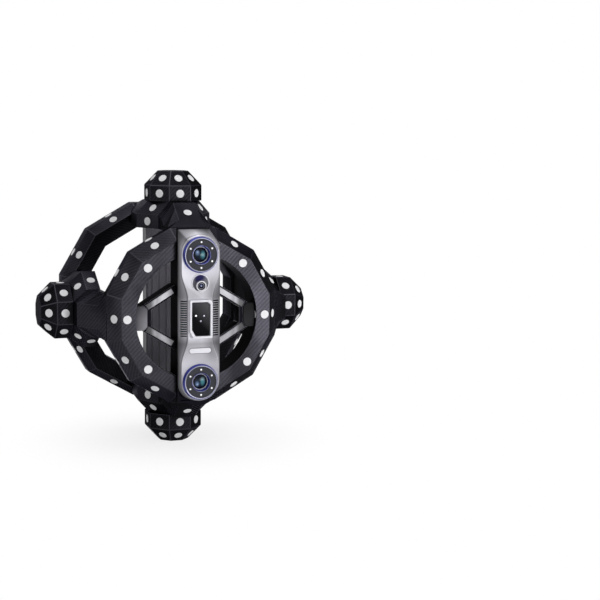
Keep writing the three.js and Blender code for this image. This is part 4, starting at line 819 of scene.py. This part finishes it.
for name, z in (("upper", LENS_REACH), ("lower", -LENS_REACH)):
    rim = turned([
        (18.9, -120.6), (18.9, -124.6), (19.1, -125.1), (19.5, -125.2), (19.9, -125.0), (20.0, -124.5),
        (20.0, -120.6),
    ], z)
    add_piece(f"{name}_bezel_rim", rim, [polished], replaces=[f"{name}_bezel"], smooth=40)
    wall = turned([
        (20.02, -120.6), (20.02, -124.4), (20.3, -124.5), (20.8, -123.6), (21.45, -121.3), (21.6, -120.6),
    ], z)
    add_piece(f"{name}_bezel_wall", wall, [blue_wall], smooth=40)
    face = turned([
        (11.7, -124.2), (11.9, -124.4), (18.3, -124.4), (18.6, -124.1), (18.6, -117.4), (11.7, -117.4),
    ], z)
    add_piece(
        f"{name}_lamp_face", face, [lamp_grey], replaces=[f"{name}_light_ring"], smooth=40)
    beads = bmesh.new()
    for i in range(LED_COUNT):
        angle = math.pi / 2 + 2 * math.pi * i / LED_COUNT
        place = Vector((LED_CIRCLE * math.cos(angle), LAMP_FRONT, z + LED_CIRCLE * math.sin(angle)))
        add_bead(beads, place + CAGE_CENTRE, LED_RADIUS)
    add_piece(f"{name}_emitters", beads, [emitter], smooth=60)
    lip = turned([
        (11.05, -125.0), (11.1, -125.2), (11.25, -125.3), (11.4, -125.0), (11.4, -110.0), (0, -110.0),
        (0, -116.6), (10.05, -116.6), (10.05, -118.6),
    ], z)
    add_piece(
        f"{name}_barrel_lip", lip, [polished], replaces=[f"{name}_lens_barrel"], smooth=40)
    cone = turned([(9.9, -118.6), (10.85, -125.0), (11.03, -125.0), (10.03, -118.6)], z)
    add_piece(f"{name}_barrel_cone", cone, [blue_wall], smooth=40)
    collar = turned([
        (8.9, -119.4), (8.95, -120.4), (9.1, -120.65), (9.3, -120.65), (9.5, -120.3), (9.55, -119.6),
        (9.55, -116.9), (8.9, -116.9),
    ], z)
    add_piece(f"{name}_lens_collar", collar, [pale], smooth=50)
    dome = turned(dished(8.8, -120.6, 1.6, -117.0), z)
    add_piece(f"{name}_coated_lens_painted_reflections", dome, [coated], replaces=[f"{name}_lens_glass"], smooth=50)

# Small camera. A dished silver cup with a pale lip sits under the upper lens; the cup's dark violet top
# is a painted reflection, and the pale lip is a painted highlight for the light its rounded rim catches.
# A short tube with a white lip stands in it, a little low, and holds a stop ring and a dark lens of its
# own, with a painted glint.
EYE_Z = 39.2 * MM
# Painted reflection: round this point near the cup's top its silver turns dark violet, fading out between
# these two distances.
CUP_PAINTED_REFLECTION = Vector((-0.5 * MM, -117 * MM, CAGE_CENTRE.z + CUP_Z + 7 * MM))
CUP_REFLECTION_START = 3.5 * MM
CUP_REFLECTION_END = 9.5 * MM

satin_cup_painted_reflection, tree, shader = finish_of("satin_cup_painted_reflection", (0.3, 0.29, 0.36), 0.3, 0.45, Specular_IOR_Level=0.2)
tree.links.new(spread(tree, fuzz_at(tree, 4000.0)["Grain"], 0.24, 0.34), shader.inputs["Roughness"])
off = wire(tree, "ShaderNodeVectorMath", {0: own_place(tree), 1: CUP_PAINTED_REFLECTION}, operation="DISTANCE")
reflection_fade = wire(tree, "ShaderNodeMapRange", {
    "Value": off.outputs["Value"], "From Min": CUP_REFLECTION_START, "From Max": CUP_REFLECTION_END,
}, interpolation_type="SMOOTHSTEP").outputs["Result"]
tree.links.new(tint(tree, reflection_fade, (0.05, 0.046, 0.165), (0.36, 0.355, 0.39)), shader.inputs["Base Color"])

cup = turned(dished(9.55, -115.6, -4.4, -113.4), CUP_Z)
add_piece("sensor_dish", cup, [satin_cup_painted_reflection], replaces=["sensor_cup"], smooth=50)
# The pale lip is a painted highlight where the cup's rounded rim catches light.
lip = turned([
    (9.6, -119.6), (9.65, -120.6), (9.95, -121.05), (10.5, -121.1), (10.85, -120.7), (10.85, -117.8),
    (9.6, -117.8),
], CUP_Z)
add_piece("sensor_dish_lip", lip, [pale], smooth=50)
eye = turned([
    (0, -121.6), (4.95, -121.6), (4.95, -124.2), (5.9, -124.2), (5.95, -115.8), (0, -115.8),
], EYE_Z)
add_piece("sensor_tube", eye, [satin_cup_painted_reflection], replaces=["sensor_barrel"], smooth=40)
eye_lip = turned([
    (4.85, -124.2), (4.9, -124.9), (5.1, -125.2), (5.5, -125.3), (5.95, -125.1), (6.15, -124.7),
    (6.15, -124.2),
], EYE_Z)
add_piece("sensor_tube_lip", eye_lip, [target], smooth=50)
groove = turned([(3.8, -123.0), (4.9, -123.0), (4.9, -121.7), (3.8, -121.7)], EYE_Z)
add_piece("sensor_groove", groove, [lamp_grey], smooth=40)
stop_ring = turned([
    (2.9, -122.8), (3.0, -124.1), (3.2, -124.4), (3.5, -124.3), (3.75, -123.8), (3.75, -121.7),
    (2.9, -121.7),
], EYE_Z)
add_piece("sensor_stop_ring", stop_ring, [polished], smooth=40)
pupil = turned([
    (0, -123.5), (1.0, -123.4), (1.9, -123.1), (2.85, -122.6), (2.85, -121.9), (0, -121.9),
], EYE_Z)
add_piece("sensor_lens", pupil, [coated], replaces=["sensor_glass"], smooth=50)

# Projector window. A pale frame with two cut corners holds a smoked pane, and three small emitters
# of the pattern projector show through it. A pale strip below lights when the scanner runs.
FRAME_WIDE = 2.7 * MM
FRAME_FRONT = -125.0 * MM
FRAME_BACK = -120.6 * MM
FRAME_EDGE = 0.9 * MM
HOLE_DEPTHS = (-119 * MM, -127 * MM)
PANE_INSET = 0.3 * MM
PANE_FRONT = -122.6 * MM
# Painted sheen: the pane lightens between these two sums of its height and its place across.
PANE_PAINTED_SHEEN = (0.163, 0.200)
PROJECTOR_PLACES = ((-6.0, 3.8), (3.9, 3.4), (-0.1, -2.8))
PROJECTOR_RADIUS = 1.2 * MM
STRIP_FRONT = -120.8 * MM
STRIP_BACK = -119.5 * MM
STRIP_EDGE = 0.4 * MM

smoke, tree, shader = finish_of("smoked_pane", (0.02, 0.02, 0.022), 0.16, Specular_IOR_Level=0.01)
planes = split(tree, own_place(tree))
# Painted sheen: the smoked pane lightens from its lower left to its upper right.
painted_sheen = wire(tree, "ShaderNodeMapRange", {
    "Value": reckon(tree, "ADD", planes[2], planes[0]), "From Min": PANE_PAINTED_SHEEN[0], "From Max": PANE_PAINTED_SHEEN[1],
}).outputs[0]
tree.links.new(
    tint(tree, painted_sheen, (0.0025, 0.0025, 0.0035), (0.085, 0.083, 0.092)), shader.inputs["Base Color"])

hole = bridged([window_loop(0)] * 2, HOLE_DEPTHS)
frame_bar = cut_away(bridged([window_loop(FRAME_WIDE)] * 2, [FRAME_BACK, FRAME_FRONT]), hole)
trim = add_piece("window_trim", frame_bar, [pale], replaces=["window_frame"])
round_edges(trim, FRAME_EDGE, segments=3, angle=math.radians(30))
sheet = bridged([window_loop(-PANE_INSET)] * 2, [FRAME_BACK, PANE_FRONT])
add_piece("smoked_window", sheet, [smoke], replaces=["window_pane"])
dots = bmesh.new()
for index, (x, z) in enumerate(PROJECTOR_PLACES):
    place = Vector((x * MM, PANE_FRONT, CAGE_CENTRE.z + z * MM))
    for face in add_bead(dots, place, PROJECTOR_RADIUS):
        face.material_index = min(index, 1)
add_piece("projector_emitters", dots, [emitter, polished], smooth=60)
strip = bridged([slot_loop(0)] * 2, [STRIP_BACK, STRIP_FRONT])
lit_strip = add_piece("status_strip", strip, [pale], replaces=["indicator_strip"])
round_edges(lit_strip, STRIP_EDGE, angle=math.radians(40))

# Board and projector. Inside the bar a green circuit board is screwed to four posts of the tray, and
# the black block of the pattern projector is fixed on it behind the window.
INNER_EDGE = 0.2 * MM

board, tree, shader = finish_of("solder_mask", (0.01, 0.08, 0.04), 0.35)
speck = fuzz_at(tree, 300.0)["Grain"]
tree.links.new(tint(tree, speck, (0.008, 0.06, 0.03), (0.016, 0.11, 0.06)), shader.inputs["Base Color"])
for node, material, slot in (
    ("camera_board", board, "board"), ("projector_module", black_mould, "housing"),
):
    inner = add_piece(f"{node}_body", flat_copy(node), [material], replaces=[node])
    round_edges(inner, INNER_EDGE, segments=1, angle=math.radians(40))

# Brace. On each side of the bar a black V of two struts meets the bore under a grey clamp, with a
# pale inlay strip let into each strut. The struts' moulded edges are a lighter grey, a painted
# highlight, and the clamps and strips carry painted light and shade.
CLAMP_REACH = 76 * MM
# Painted light and shade on the clamp covers: the left one lightens towards its right side, the right one
# stays dark, and both darken towards their tops.
CLAMP_SIDE_LIGHT_TONES = (-CLAMP_REACH, CLAMP_REACH, ((0.0, 0.3), (0.11, 1.3), (0.3, 0.4), (0.7, 0.1), (1.0, 0.1)))
CLAMP_HEIGHT_SHADE_TONES = (0.152, 0.186, ((0.0, 1.0), (0.5, 0.8), (1.0, 0.3)))
# Painted shade and light on the inlay strips: darker towards their outer ends by the clamps, lighter towards
# their tops.
INLAY_SHADE_TONES = (
    0.027, 0.061, ((0.0, 1.0), (0.42, 0.95), (0.6, 0.62), (0.68, 0.78), (0.82, 0.22), (1.0, 0.12)),
)
INLAY_HEIGHT_LIGHT_TONES = (0.156, 0.184, ((0.0, 0.5), (1.0, 0.72)))

clamp_grey_painted_light_shade, tree, shader = finish_of("clamp_grey_painted_light_shade", (0.12, 0.12, 0.13), 0.4, Specular_IOR_Level=0.03)
planes = split(tree, own_place(tree))
# The clamp cover's grey is painted light and shade, by its place across and its height.
across = ramp(tree, planes[0], *CLAMP_SIDE_LIGHT_TONES, (0.24, 0.235, 0.26))
tree.links.new(
    scaled(tree, across, ramp(tree, planes[2], *CLAMP_HEIGHT_SHADE_TONES)), shader.inputs["Base Color"])

inlay, tree, shader = finish_of("inlay_strip", (0.6, 0.6, 0.63), 0.4, Specular_IOR_Level=0.1)
planes = split(tree, own_place(tree))
# The strip's tone: painted shade along it and painted light by height, with a random mottle.
along = ramp(tree, reckon(tree, "ABSOLUTE", planes[0]), *INLAY_SHADE_TONES)
rise = ramp(tree, planes[2], *INLAY_HEIGHT_LIGHT_TONES, (1, 0.995, 1.06))
worn = spread(tree, fuzz_at(tree, 1600.0)["Cloud"], 0.85, 1.15)
tree.links.new(scaled(tree, rise, along, worn), shader.inputs["Base Color"])

# Painted highlight: the struts' rounded edges are a lighter grey than the black struts.
strut_edge_painted_highlight, tree, shader = finish_of("strut_edge_painted_highlight", (0.2, 0.2, 0.22), 0.3, 0.8, Specular_IOR_Level=0.1)
cloud = fuzz_at(tree, 900.0)["Cloud"]
tree.links.new(tint(tree, cloud, (0.10, 0.10, 0.112), (0.28, 0.276, 0.30)), shader.inputs["Base Color"])

for side in ("left", "right"):
    for node, name, materials, slot, width in (
        ("brace", "strut_pair", [black_mould, strut_edge_painted_highlight], "housing", 0.5),
        ("brace_clamp", "clamp_cover", [clamp_grey_painted_light_shade], "grip_skin", 0.6),
        ("upper_strip", "upper_inlay", [inlay], "pale_trim", 0.3),
        ("lower_strip", "lower_inlay", [inlay], "pale_trim", 0.3),
    ):
        node = f"{side}_{node}"
        part = add_piece(f"{side}_{name}", flat_copy(node), materials, replaces=[node])
        edge = 1 if strut_edge_painted_highlight in materials else -1
        round_edges(part, width * MM, angle=math.radians(25), material=edge)

# Grip. Two grey moulded halves with three grooves down the front stand in the rear ring. The back
# has a hinged battery door, four rubber keys and an inlet under a rubber flap.
# Painted light on the grip: lighter towards the top, darker low down.
GRIP_HEIGHT_LIGHT_TONES = (0.10, 0.24, ((0.0, 0.62), (0.5, 0.95), (1.0, 1.5)))

grip_grey, tree, shader = finish_of("grip_grey", (0.10, 0.098, 0.115), 0.42, Specular_IOR_Level=0.15)
fuzz = fuzz_at(tree, 1400.0)
# The grip's grey, painted lighter with height.
rise = ramp(tree, split(tree, own_place(tree))[2], *GRIP_HEIGHT_LIGHT_TONES)
mottled = tint(tree, fuzz["Cloud"], (0.13, 0.126, 0.148), (0.20, 0.195, 0.226))
tree.links.new(scaled(tree, mottled, rise), shader.inputs["Base Color"])
roughen(tree, shader, fuzz["Grain"], 0.08 * MM, 0.5)

key_rubber, tree, shader = finish_of("key_rubber", (0.028, 0.028, 0.03), 0.62)
fuzz = fuzz_at(tree, 2000.0)
tree.links.new(spread(tree, fuzz["Cloud"], 0.52, 0.72), shader.inputs["Roughness"])
roughen(tree, shader, fuzz["Grain"], 0.04 * MM, 0.4)

steel, tree, shader = finish_of("turned_steel", (0.56, 0.57, 0.59), 0.3, 1.0)
tree.links.new(spread(tree, fuzz_at(tree, 3000.0)["Grain"], 0.22, 0.4), shader.inputs["Roughness"])

for node, name, material, slot, body, width in (
    ("grip_front_shell", "grip_front_moulding", grip_grey, "grip_skin", "housing", 0.8),
    ("grip_rear_shell", "grip_rear_moulding", grip_grey, "grip_skin", "housing", 0.3),
    ("battery", "battery_case", black_mould, "battery_case", "housing", 0.5),
    ("battery_door", "door_panel", grip_grey, "grip_skin", "door", 0.25),
    ("door_pin", "hinge_pin", steel, "steel", "housing", 0.1),
    ("port_socket", "inlet_shell", steel, "steel", "housing", 0.15),
    ("port_flap", "inlet_flap", key_rubber, "rubber", "flap", 0.4),
    ("scan_button", "scan_key_cap", key_rubber, "rubber", "scan_key", 0.4),
    ("plus_button", "plus_key_cap", key_rubber, "rubber", "plus_key", 0.3),
    ("minus_button", "minus_key_cap", key_rubber, "rubber", "minus_key", 0.3),
    ("power_button", "power_key_cap", key_rubber, "rubber", "power_key", 0.3),
):
    part = add_piece(name, flat_copy(node), [material], body=body, replaces=[node])
    round_edges(part, width * MM, angle=math.radians(30))
